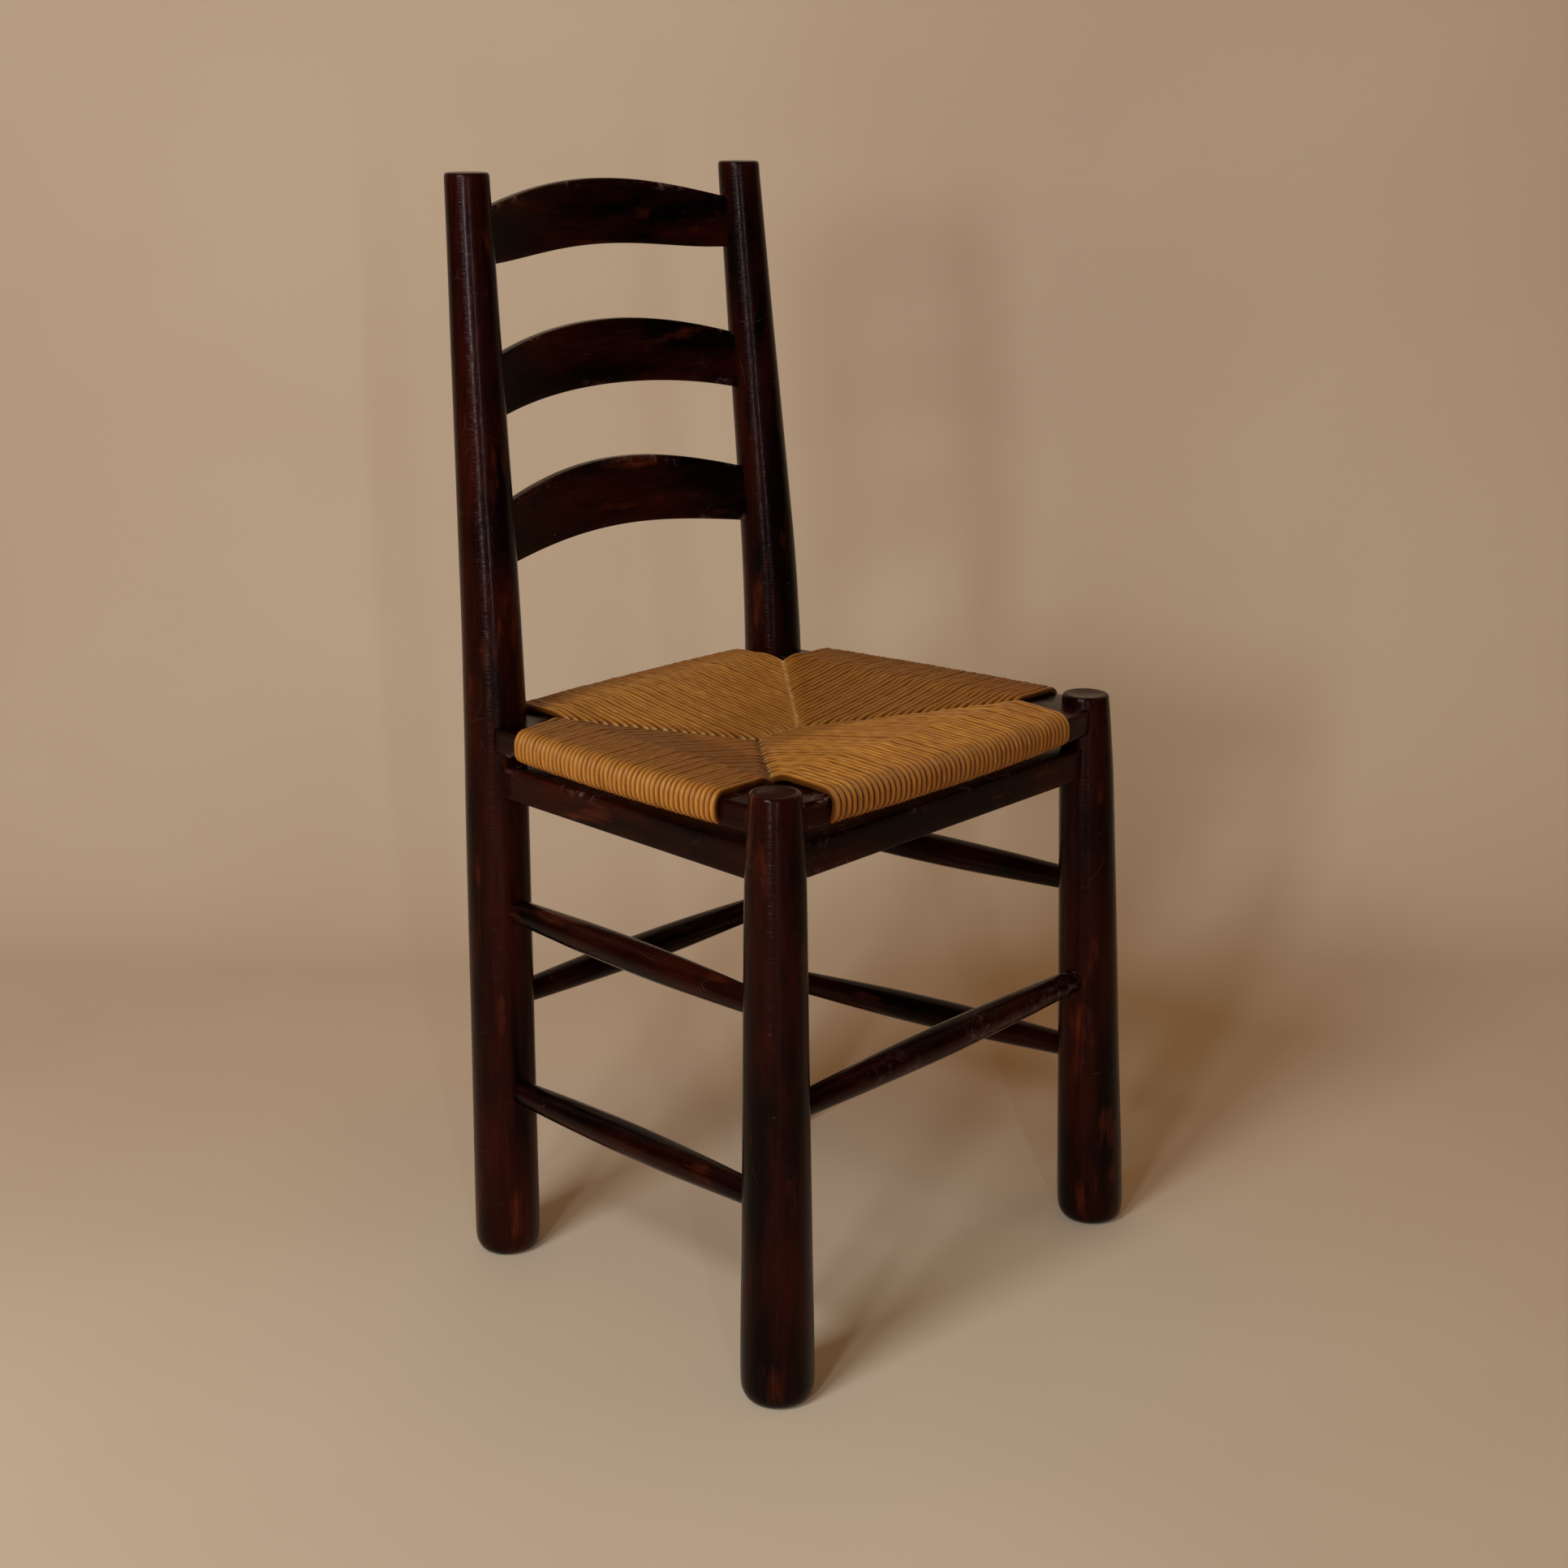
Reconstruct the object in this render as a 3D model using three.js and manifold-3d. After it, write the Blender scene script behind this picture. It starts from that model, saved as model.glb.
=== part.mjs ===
// Ladder-back dining chair with a woven rush seat.
// Millimetres, +Z up, the front of the chair faces -Y.
import * as THREE from 'three';
import { mergeVertices } from 'three/addons/utils/BufferGeometryUtils.js';
import Module from 'manifold-3d';

// ---- joints and clearances ----
const GAP = 0.3;
const SOFT_GAP = 1.0;
// distance from an upright's axis to the tip of a tenon
const TENON_STOP = 6.4;
// how far a tenon reaches back into its own bar, past the upright's surface
const TENON_ROOT = 8;
// cutters run well clear of the piece they cut
const CLEAR = 60;

// ---- front legs: axis at the top and at the floor, one side ----
const LEG_TOP = { x: 187.5, y: 0, z: 461 };
const LEG_FOOT = { x: 201, y: -14, z: 0 };
const LEG_SEGMENTS = 24;
// height above the floor, radius
const LEG_PROFILE = [
  [0, 20.5], [2.2, 23.8], [7, 26.4], [14, 27.5], [48, 27.3], [130, 25.9], [280, 23.9],
  [394, 22.2], [425, 20.9], [458.4, 18.95], [460.3, 18.1], [461, 16.6],
];

// ---- back posts: upright to the bend, then leaning back and slightly together ----
const POST_FOOT = { x: 170.3, y: 316.6, z: 0 };
const POST_BEND = { x: 163, y: 318.2, z: 500 };
const POST_TOP = { x: 150.3, y: 344.6, z: 868 };
const POST_BEND_HALF = 70;
const POST_SEGMENTS = 24;
const POST_PROFILE = [
  [0, 19.6], [2.2, 22.8], [7, 25.3], [14, 26.4], [60, 26.4], [210, 25.8], [377, 25.3],
  [430, 24.9], [465, 24.5], [500, 23.9], [535, 23.3], [570, 22.7], [685, 20.5], [782, 18.7],
  [860, 17.3], [865.6, 17.1], [867.4, 16.3], [868, 14.8],
];

// ---- slats: edge heights at the post axes, arch of each edge, bow to the back ----
const SLATS = [
  { name: 'slat_top', low: 801.6, lowArch: [21.6, -14.3], high: 837.6, highArch: [27, -4.1] },
  { name: 'slat_middle', low: 678.5, lowArch: [16.5, 2.6], high: 723.9, highArch: [26.6, -1] },
  { name: 'slat_bottom', low: 566.5, lowArch: [21.2, -5.6], high: 610.3, highArch: [32.4, -5] },
];
const SLAT_BOW = 22;
const SLAT_THICKNESS = 9;
const SLAT_FACE_OFFSET = 3.5;
const SLAT_BEVEL = 1.6;
const SLAT_STEPS = 16;

// ---- seat rails: flat boards with a bowed outer edge, wrapped by the rush ----
const RAIL_LOW = 432.5;
const RAIL_HIGH = 452;
const RAIL_CORNER = 6;
const RAIL_INNER = 30;
const RAIL_STEPS = 8;
const RAIL_TENON = { width: 11, height: 14 };
const RAIL_OUTER = { front: 12, back: 10, left: 14, right: 14 };
const RAIL_BOW = { front: 11, back: 6, left: 8, right: 6 };

// ---- aprons: flat boards under the rush ----
const APRON_LOW = 394;
const APRON_HIGH = 419.5;
const APRON_OUTER = 9;
const APRON_INNER = 15;
const APRON_CORNER = 1.2;
const APRON_TENON = { width: 9, height: 16 };

// ---- stretchers: turned, fat in the middle ----
const STRETCHER_MID = 12.9;
const STRETCHER_END = 9.3;
const STRETCHER_TENON = 7.8;
const STRETCHER_TENON_LENGTH = 13;
const STRETCHER_TENON_CHAMFER = 1;
const STRETCHER_SWELL_POWER = 1.25;
// the socket is a little wider outside the tenon, where the turning thickens
const SOCKET_MOUTH = 0.25;
const STRETCHER_SEGMENTS = 16;
const STRETCHER_STEPS = 8;
const FRONT_STRETCHER_Z = 219.6;
const BACK_STRETCHER_Z = 217.6;
const SIDE_UPPER = { front: 300, back: 299 };
const SIDE_LOWER = { front: 151.5, back: 143 };

// ---- rush seat: wraps the rails, dished to the middle ----
const RUSH_CORD = 5.7;
// the cords are pulled flatter where they cross under a rail
const RUSH_CORD_UNDER = 3.5;
const RUSH_HALF_FRONT = 144;
const RUSH_HALF_BACK = 130;
const RUSH_SIDE_FRONT = 39;
const RUSH_SIDE_BACK = 277;
const RUSH_CENTRE_Y = 163;
const RUSH_BRIDGE = 22;
const RUSH_SAG = 23;
const RUSH_UNDER_SAG = 5;
const RUSH_SAG_POWER = 0.85;
const RUSH_REACH = 133;
const RUSH_EDGE_POINTS = 8;
// rings of the dished faces, as fractions of the way from the middle to the edge
const RUSH_RINGS = [0.3, 0.6, 0.85];
// rounding of the wrapped edge: share of the cord's thickness out, height from the face
const RUSH_ROUNDING = [[0.1, 1.6], [0.72, 5], [1, 10]];

// ---- stuffing pushed into the four pockets between the rush layers ----
const STUFFING_SKIN = 5.2;
const STUFFING_REACH = 0.62;
const STUFFING_HALF_BASE = { front: 96, back: 84, left: 76, right: 76 };
// a slanted side needs its corners moved further than the gap it keeps
const STUFFING_SLANT = 3;
const STUFFING_TIP_SLANT = 1.5;

// ---- colours ----
const WOOD = { color: '#2a1510', roughness: 0.38, metalness: 0 };
const RUSH = { color: '#a5702f', roughness: 0.72, metalness: 0 };
const STRAW = { color: '#8f7440', roughness: 0.95, metalness: 0 };

const wasm = await Module();
wasm.setup();

// ---- solids ----
function toSolid(geometry) {
  const bare = geometry.index ? geometry.toNonIndexed() : geometry.clone();
  bare.deleteAttribute('normal');
  bare.deleteAttribute('uv');
  const merged = mergeVertices(bare, 1e-4);
  const mesh = new wasm.Mesh({
    numProp: 3,
    vertProperties: new Float32Array(merged.attributes.position.array),
    triVerts: new Uint32Array(merged.index.array),
  });
  return new wasm.Manifold(mesh);
}

function toGeometry(solid) {
  const mesh = solid.getMesh();
  const geometry = new THREE.BufferGeometry();
  const positions = new Float32Array(mesh.vertProperties);
  geometry.setAttribute('position', new THREE.BufferAttribute(positions, 3));
  geometry.setIndex(new THREE.BufferAttribute(new Uint32Array(mesh.triVerts), 1));
  return geometry;
}

function subtractAll(geometry, cutters) {
  let solid = toSolid(geometry);
  for (const cutter of cutters) {
    solid = solid.subtract(toSolid(cutter));
  }
  return toGeometry(solid);
}

function addAll(geometry, extras) {
  let solid = toSolid(geometry);
  for (const extra of extras) {
    solid = solid.add(toSolid(extra));
  }
  return toGeometry(solid);
}

// Rings of equal length joined into one closed solid, each end capped by a fan round its middle.
function loft(rings) {
  const count = rings[0].length;
  const positions = [];
  const index = [];
  for (const ring of rings) {
    for (const point of ring) {
      positions.push(point.x, point.y, point.z);
    }
  }
  for (let r = 0; r + 1 < rings.length; r += 1) {
    for (let i = 0; i < count; i += 1) {
      const a = r * count + i;
      const b = r * count + (i + 1) % count;
      index.push(a, b, b + count, a, b + count, a + count);
    }
  }
  const last = (rings.length - 1) * count;
  const firstHub = rings.length * count;
  for (const ring of [rings[0], rings[rings.length - 1]]) {
    const hub = new THREE.Vector3();
    for (const point of ring) hub.addScaledVector(point, 1 / count);
    positions.push(hub.x, hub.y, hub.z);
  }
  for (let i = 0; i < count; i += 1) {
    const next = (i + 1) % count;
    index.push(firstHub, next, i);
    index.push(firstHub + 1, last + i, last + next);
  }
  const geometry = new THREE.BufferGeometry();
  geometry.setAttribute('position', new THREE.Float32BufferAttribute(positions, 3));
  geometry.setIndex(index);
  return geometry;
}

// ---- axes ----
function legAxis(side, z) {
  const t = (z - LEG_FOOT.z) / (LEG_TOP.z - LEG_FOOT.z);
  const x = side * THREE.MathUtils.lerp(LEG_FOOT.x, LEG_TOP.x, t);
  return new THREE.Vector3(x, THREE.MathUtils.lerp(LEG_FOOT.y, LEG_TOP.y, t), z);
}

function postAxis(side, z) {
  const lower = (z - POST_FOOT.z) / (POST_BEND.z - POST_FOOT.z);
  const upper = (z - POST_BEND.z) / (POST_TOP.z - POST_BEND.z);
  const along = (key) => {
    const low = THREE.MathUtils.lerp(POST_FOOT[key], POST_BEND[key], lower);
    const high = THREE.MathUtils.lerp(POST_BEND[key], POST_TOP[key], upper);
    if (z <= POST_BEND.z - POST_BEND_HALF) return low;
    if (z >= POST_BEND.z + POST_BEND_HALF) return high;
    const t = (z - POST_BEND.z + POST_BEND_HALF) / (2 * POST_BEND_HALF);
    const slopeLow = (POST_BEND[key] - POST_FOOT[key]) / (POST_BEND.z - POST_FOOT.z);
    const slopeHigh = (POST_TOP[key] - POST_BEND[key]) / (POST_TOP.z - POST_BEND.z);
    return low + (slopeHigh - slopeLow) * POST_BEND_HALF * t * t;
  };
  return new THREE.Vector3(side * along('x'), along('y'), z);
}

function profileRadius(profile, z) {
  for (let i = 0; i + 1 < profile.length; i += 1) {
    const [z0, r0] = profile[i];
    const [z1, r1] = profile[i + 1];
    if (z <= z1) return THREE.MathUtils.mapLinear(z, z0, z1, r0, r1);
  }
  return profile[profile.length - 1][1];
}

function roundUpright(axis, profile, segments, grow) {
  const rings = profile.map(([z, radius]) => {
    const centre = axis(z);
    const ring = [];
    for (let i = 0; i < segments; i += 1) {
      const angle = (i / segments) * Math.PI * 2;
      const x = centre.x + (radius + grow) * Math.cos(angle);
      const y = centre.y + (radius + grow) * Math.sin(angle);
      ring.push(new THREE.Vector3(x, y, z));
    }
    return ring;
  });
  return loft(rings);
}

const leg = (side, grow) => {
  return roundUpright((z) => legAxis(side, z), LEG_PROFILE, LEG_SEGMENTS, grow);
};
const post = (side, grow) => {
  return roundUpright((z) => postAxis(side, z), POST_PROFILE, POST_SEGMENTS, grow);
};

// ---- a bar between two points: level section with rounded corners ----
// frame.start and frame.end lie on the axes line, frame.out points out of the chair.
const SIDES = {
  front: (z) => ({ start: legAxis(-1, z), end: legAxis(1, z) }),
  right: (z) => ({ start: legAxis(1, z), end: postAxis(1, z) }),
  back: (z) => ({ start: postAxis(1, z), end: postAxis(-1, z) }),
  left: (z) => ({ start: postAxis(-1, z), end: legAxis(-1, z) }),
};

function sideFrame(side, z) {
  const { start, end } = SIDES[side](z);
  const along = end.clone().sub(start).setZ(0);
  const length = along.length();
  along.normalize();
  const out = new THREE.Vector3(along.y, -along.x, 0);
  return { start, along, out, length };
}

function framePoint(frame, along, out, z) {
  const point = frame.start.clone();
  point.addScaledVector(frame.along, along);
  point.addScaledVector(frame.out, out);
  point.z = z;
  return point;
}

// rounded rectangle, out against z, listed so that a loft along the bar faces outwards
function barSection(inner, outer, low, high, corner, arcSteps) {
  const points = [];
  const corners = [
    [outer - corner, low + corner, -Math.PI / 2],
    [outer - corner, high - corner, 0],
    [inner + corner, high - corner, Math.PI / 2],
    [inner + corner, low + corner, Math.PI],
  ];
  for (const [cu, cz, from] of corners) {
    for (let i = 0; i <= arcSteps; i += 1) {
      const angle = from + (i / arcSteps) * (Math.PI / 2);
      points.push([cu + corner * Math.cos(angle), cz + corner * Math.sin(angle)]);
    }
  }
  return points.reverse();
}

function bowedBar(side, spec, grow) {
  const frame = sideFrame(side, (spec.low + spec.high) / 2);
  const rings = [];
  for (let i = 0; i <= spec.steps; i += 1) {
    const t = i / spec.steps;
    const along = t * frame.length;
    const outer = spec.outer + spec.bow * 4 * t * (1 - t);
    const section = barSection(
      -spec.inner - grow, outer + grow, spec.low - grow, spec.high + grow, spec.corner, spec.arc,
    );
    rings.push(section.map(([out, z]) => framePoint(frame, along, out, z)));
  }
  return loft(rings);
}

// square tongue at one end of a bar, from the axis stop outwards along the bar
function tenon(side, atEnd, spec, reach, grow) {
  const middle = (spec.low + spec.high) / 2;
  const frame = sideFrame(side, middle);
  const near = TENON_STOP - grow;
  const box = new THREE.BoxGeometry(
    reach - near, spec.tenon.width + 2 * grow, spec.tenon.height + 2 * grow,
  );
  const centre = atEnd ? frame.length - (reach + near) / 2 : (reach + near) / 2;
  const position = framePoint(frame, centre, 0, middle);
  box.rotateZ(Math.atan2(frame.along.y, frame.along.x));
  box.translate(position.x, position.y, position.z);
  return box;
}

// big wedge that clears one end of a bar past its corner diagonal
function mitreCutter(side, atEnd, z) {
  const order = ['front', 'right', 'back', 'left'];
  const step = atEnd ? 1 : 3;
  const neighbour = order[(order.indexOf(side) + step) % 4];
  const own = sideFrame(side, z);
  const other = sideFrame(neighbour, z);
  const corner = framePoint(own, atEnd ? own.length : 0, 0, z);
  const inward = own.out.clone().add(other.out).normalize().negate();
  const away = own.along.clone().multiplyScalar(atEnd ? 1 : -1);
  const normal = away.clone().addScaledVector(inward, -away.dot(inward)).normalize();
  const box = new THREE.BoxGeometry(2 * CLEAR, 4 * CLEAR, 2 * CLEAR);
  box.rotateZ(Math.atan2(normal.y, normal.x));
  const centre = corner.clone().addScaledVector(normal, CLEAR - GAP / 2);
  box.translate(centre.x, centre.y, z);
  return box;
}

function railSpec(side) {
  return {
    low: RAIL_LOW,
    high: RAIL_HIGH,
    inner: RAIL_INNER,
    outer: RAIL_OUTER[side],
    bow: RAIL_BOW[side],
    corner: RAIL_CORNER,
    arc: 2,
    steps: RAIL_STEPS,
    tenon: RAIL_TENON,
  };
}

const APRON = {
  low: APRON_LOW,
  high: APRON_HIGH,
  inner: APRON_INNER,
  outer: APRON_OUTER,
  bow: 0,
  corner: APRON_CORNER,
  arc: 1,
  steps: 1,
  tenon: APRON_TENON,
};

const UPRIGHTS = {
  front: [leg(-1, GAP), leg(1, GAP)],
  right: [leg(1, GAP), post(1, GAP)],
  back: [post(1, GAP), post(-1, GAP)],
  left: [post(-1, GAP), leg(-1, GAP)],
};

function jointedBar(side, spec) {
  const middle = (spec.low + spec.high) / 2;
  const blank = bowedBar(side, spec, 0);
  const cutters = [...UPRIGHTS[side]];
  cutters.push(mitreCutter(side, false, middle), mitreCutter(side, true, middle));
  const bar = subtractAll(blank, cutters);
  const reach = profileRadius(POST_PROFILE, spec.low) + TENON_ROOT;
  return addAll(bar, [tenon(side, false, spec, reach, 0), tenon(side, true, spec, reach, 0)]);
}

// ---- slats ----
function slatAxis(z, u) {
  const left = postAxis(-1, z);
  return new THREE.Vector3(u * Math.abs(left.x), left.y + SLAT_BOW * (1 - u * u), z);
}

function slatEdge(level, arch, u) {
  return level + arch[0] * (1 - u * u) + arch[1] * (1 - u ** 4);
}

function slat(spec, grow) {
  const half = Math.abs(postAxis(1, spec.low).x);
  const limit = 1 - (TENON_STOP - grow) / half;
  const rings = [];
  for (let i = 0; i <= SLAT_STEPS; i += 1) {
    const u = THREE.MathUtils.lerp(-limit, limit, i / SLAT_STEPS);
    const low = slatEdge(spec.low, spec.lowArch, u) - grow;
    const high = slatEdge(spec.high, spec.highArch, u) + grow;
    const lowAt = slatAxis(spec.low, u);
    const highAt = slatAxis(spec.high, u);
    const front = -SLAT_FACE_OFFSET - grow;
    const back = SLAT_THICKNESS - SLAT_FACE_OFFSET + grow;
    const bevel = SLAT_BEVEL;
    const outline = [
      [front + bevel, low], [back - bevel, low], [back, low + bevel], [back, high - bevel],
      [back - bevel, high], [front + bevel, high], [front, high - bevel], [front, low + bevel],
    ];
    rings.push(outline.map(([out, z]) => {
      const t = (z - low) / (high - low);
      const x = THREE.MathUtils.lerp(lowAt.x, highAt.x, t);
      const y = THREE.MathUtils.lerp(lowAt.y, highAt.y, t) + out;
      return new THREE.Vector3(x, y, z);
    }));
  }
  return loft(rings);
}

// ---- stretchers ----
const STRETCHERS = [
  { name: 'stretcher_front', from: legAxis(-1, FRONT_STRETCHER_Z), to: legAxis(1, FRONT_STRETCHER_Z) },
  { name: 'stretcher_back', from: postAxis(-1, BACK_STRETCHER_Z), to: postAxis(1, BACK_STRETCHER_Z) },
];
for (const [label, side] of [['left', -1], ['right', 1]]) {
  for (const [level, heights] of [['upper', SIDE_UPPER], ['lower', SIDE_LOWER]]) {
    STRETCHERS.push({
      name: `stretcher_${label}_${level}`,
      from: legAxis(side, heights.front),
      to: postAxis(side, heights.back),
    });
  }
}

function stretcher(spec) {
  const axis = spec.to.clone().sub(spec.from);
  const length = axis.length();
  const shoulder = TENON_STOP + STRETCHER_TENON_LENGTH;
  const chamfer = STRETCHER_TENON_CHAMFER;
  const tenonEnd = [
    [0, TENON_STOP], [STRETCHER_TENON - chamfer, TENON_STOP],
    [STRETCHER_TENON, TENON_STOP + chamfer], [STRETCHER_TENON, shoulder],
  ];
  const profile = [...tenonEnd];
  for (let i = 0; i <= STRETCHER_STEPS; i += 1) {
    const t = i / STRETCHER_STEPS;
    const along = THREE.MathUtils.lerp(shoulder + chamfer, length - shoulder - chamfer, t);
    const swell = Math.sin(Math.PI * t) ** STRETCHER_SWELL_POWER;
    profile.push([THREE.MathUtils.lerp(STRETCHER_END, STRETCHER_MID, swell), along]);
  }
  profile.push(...tenonEnd.map(([r, y]) => [r, length - y]).reverse());
  const points = profile.map(([r, y]) => new THREE.Vector2(r, y));
  const geometry = new THREE.LatheGeometry(points, STRETCHER_SEGMENTS);
  return placeTurning(geometry, spec.from, axis);
}

// turned round Y, laid along an axis from a point
function placeTurning(geometry, from, axis) {
  const turn = new THREE.Quaternion();
  turn.setFromUnitVectors(new THREE.Vector3(0, 1, 0), axis.clone().normalize());
  geometry.applyQuaternion(turn);
  geometry.translate(from.x, from.y, from.z);
  return geometry;
}

// two drilled sockets, one at each end of a stretcher
function sockets(spec) {
  const axis = spec.to.clone().sub(spec.from);
  const deep = STRETCHER_TENON + GAP;
  const wide = STRETCHER_END + GAP + SOCKET_MOUTH;
  const stop = TENON_STOP - GAP;
  const mouth = TENON_STOP + STRETCHER_TENON_LENGTH - GAP;
  return [false, true].map((atEnd) => {
    const steps = [[0, stop], [deep, stop], [deep, mouth], [wide, mouth], [wide, CLEAR], [0, CLEAR]];
    const points = steps.map(([r, y]) => new THREE.Vector2(r, y));
    const bore = new THREE.LatheGeometry(points, STRETCHER_SEGMENTS);
    const start = atEnd ? spec.to : spec.from;
    const direction = atEnd ? axis.clone().negate() : axis.clone();
    return placeTurning(bore, start, direction);
  });
}

// ---- rush seat ----
function railFace(side, grow, along) {
  const spec = railSpec(side);
  const frame = sideFrame(side, (RAIL_LOW + RAIL_HIGH) / 2);
  const t = along / frame.length;
  return framePoint(frame, along, spec.outer + spec.bow * 4 * t * (1 - t) + grow, 0);
}

// where along a side a wanted x or y is reached
function alongFor(side, key, value) {
  const frame = sideFrame(side, (RAIL_LOW + RAIL_HIGH) / 2);
  return (value - frame.start[key]) / frame.along[key];
}

function rushOutline(grow) {
  const runs = [
    ['front', alongFor('front', 'x', -RUSH_HALF_FRONT), alongFor('front', 'x', RUSH_HALF_FRONT)],
    ['right', alongFor('right', 'y', RUSH_SIDE_FRONT), alongFor('right', 'y', RUSH_SIDE_BACK)],
    ['back', alongFor('back', 'x', RUSH_HALF_BACK), alongFor('back', 'x', -RUSH_HALF_BACK)],
    ['left', alongFor('left', 'y', RUSH_SIDE_BACK), alongFor('left', 'y', RUSH_SIDE_FRONT)],
  ];
  const notches = [
    [RUSH_HALF_FRONT, RUSH_SIDE_FRONT], [RUSH_HALF_BACK, RUSH_SIDE_BACK],
    [-RUSH_HALF_BACK, RUSH_SIDE_BACK], [-RUSH_HALF_FRONT, RUSH_SIDE_FRONT],
  ];
  const outline = [];
  runs.forEach(([side, from, to], i) => {
    for (let k = 0; k <= RUSH_EDGE_POINTS; k += 1) {
      outline.push(railFace(side, grow, THREE.MathUtils.lerp(from, to, k / RUSH_EDGE_POINTS)));
    }
    const corner = new THREE.Vector3(notches[i][0], notches[i][1], 0);
    const before = outline[outline.length - 1];
    const [next, start] = runs[(i + 1) % 4];
    const after = railFace(next, grow, start);
    outline.push(before.clone().lerp(corner, 0.5), corner, corner.clone().lerp(after, 0.5));
  });
  return outline;
}

// 0 at the inner edge of the rails, 1 in the middle
function rushDepth(x, y) {
  let least = Infinity;
  for (const side of Object.keys(SIDES)) {
    const frame = sideFrame(side, (RAIL_LOW + RAIL_HIGH) / 2);
    const offset = new THREE.Vector3(x, y, 0).sub(frame.start).setZ(0);
    least = Math.min(least, -offset.dot(frame.out) - RAIL_INNER);
  }
  return THREE.MathUtils.clamp(least / RUSH_REACH, 0, 1);
}

function rushHeights(x, y) {
  const depth = rushDepth(x, y) ** RUSH_SAG_POWER;
  return {
    top: RAIL_HIGH + RUSH_CORD - RUSH_SAG * depth,
    under: RAIL_LOW - RUSH_CORD_UNDER - RUSH_UNDER_SAG * depth,
  };
}

function rushEnvelope() {
  const under = RAIL_LOW - RUSH_CORD_UNDER;
  const top = RAIL_HIGH + RUSH_CORD;
  const edgeRing = (share, z) => {
    return rushOutline(RUSH_CORD * share).map((point) => point.clone().setZ(z));
  };
  const faceRing = (fraction, face) => rushOutline(RUSH_CORD).map((point) => {
    const towards = THREE.MathUtils.clamp(point.x, -RUSH_BRIDGE, RUSH_BRIDGE);
    const place = new THREE.Vector3(towards, RUSH_CENTRE_Y, 0).lerp(point, fraction);
    return place.setZ(rushHeights(place.x, place.y)[face]);
  });
  return loft([
    ...RUSH_RINGS.map((fraction) => faceRing(fraction, 'under')),
    ...RUSH_ROUNDING.map(([share, rise]) => edgeRing(share, under + rise)),
    ...RUSH_ROUNDING.map(([share, drop]) => edgeRing(share, top - drop)).reverse(),
    ...RUSH_RINGS.map((fraction) => faceRing(fraction, 'top')).reverse(),
  ]);
}

// ---- stuffing: a wedge, thick at the rail, thin towards the middle ----
function stuffing(side, grow) {
  const spec = railSpec(side);
  const frame = sideFrame(side, (RAIL_LOW + RAIL_HIGH) / 2);
  const middle = frame.length / 2;
  const half = STUFFING_HALF_BASE[side] + grow * STUFFING_SLANT;
  const base = -spec.inner - GAP - SOFT_GAP + grow * STUFFING_TIP_SLANT;
  const tip = -spec.inner - RUSH_REACH * STUFFING_REACH - grow * STUFFING_TIP_SLANT;
  const skin = STUFFING_SKIN - grow;
  const level = (along, out, top) => {
    const place = framePoint(frame, along, out, 0);
    const heights = rushHeights(place.x, place.y);
    return top ? heights.top - skin : heights.under + skin;
  };
  const corners = [[middle - half, base], [middle + half, base], [middle, tip]];
  const ring = (top) => corners.map(([along, out]) => {
    return framePoint(frame, along, out, level(along, out, top));
  });
  return loft([ring(false), ring(true)]);
}

// ---- assembly ----
const chair = new THREE.Group();
chair.name = 'dining_chair';

function addPiece(name, geometry, look) {
  const material = new THREE.MeshStandardMaterial(look);
  const flat = geometry.toNonIndexed();
  flat.deleteAttribute('uv');
  flat.computeVertexNormals();
  const mesh = new THREE.Mesh(flat, material);
  mesh.name = name;
  chair.add(mesh);
}

const mortisesAt = (side, atEnd) => {
  return [railSpec(side), APRON].map((spec) => tenon(side, atEnd, spec, CLEAR, GAP));
};
const socketOf = (name, end) => {
  return sockets(STRETCHERS.find((spec) => spec.name === name))[end];
};

for (const [label, side] of [['left', -1], ['right', 1]]) {
  const legCuts = [
    ...mortisesAt('front', side > 0),
    ...mortisesAt(label, label === 'left'),
    socketOf('stretcher_front', side > 0 ? 1 : 0),
    socketOf(`stretcher_${label}_upper`, 0),
    socketOf(`stretcher_${label}_lower`, 0),
  ];
  addPiece(`front_leg_${label}`, subtractAll(leg(side, 0), legCuts), WOOD);
  const postCuts = [
    ...mortisesAt('back', label === 'left'),
    ...mortisesAt(label, label === 'right'),
    ...SLATS.map((spec) => slat(spec, GAP)),
    socketOf('stretcher_back', side > 0 ? 1 : 0),
    socketOf(`stretcher_${label}_upper`, 1),
    socketOf(`stretcher_${label}_lower`, 1),
  ];
  addPiece(`back_post_${label}`, subtractAll(post(side, 0), postCuts), WOOD);
}

for (const spec of SLATS) addPiece(spec.name, slat(spec, 0), WOOD);
for (const spec of STRETCHERS) addPiece(spec.name, stretcher(spec), WOOD);

const tunnels = [];
for (const side of Object.keys(SIDES)) {
  addPiece(`seat_rail_${side}`, jointedBar(side, railSpec(side)), WOOD);
  addPiece(`apron_${side}`, jointedBar(side, APRON), WOOD);
  tunnels.push(bowedBar(side, railSpec(side), GAP), stuffing(side, SOFT_GAP));
}
addPiece('rush_seat', subtractAll(rushEnvelope(), tunnels), RUSH);
for (const side of Object.keys(SIDES)) addPiece(`stuffing_${side}`, stuffing(side, 0), STRAW);

// the frame's origin: the middle of the footprint, on the floor
const box = new THREE.Box3().setFromObject(chair);
chair.position.set(-(box.min.x + box.max.x) / 2, -(box.min.y + box.max.y) / 2, -box.min.z);

export default chair;
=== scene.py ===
# Ladder-back dining chair: a dark-stained turned frame, three bent slats and a rush seat.
import math
import random

import bmesh
import bpy
from mathutils import Matrix, Vector, noise


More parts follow.
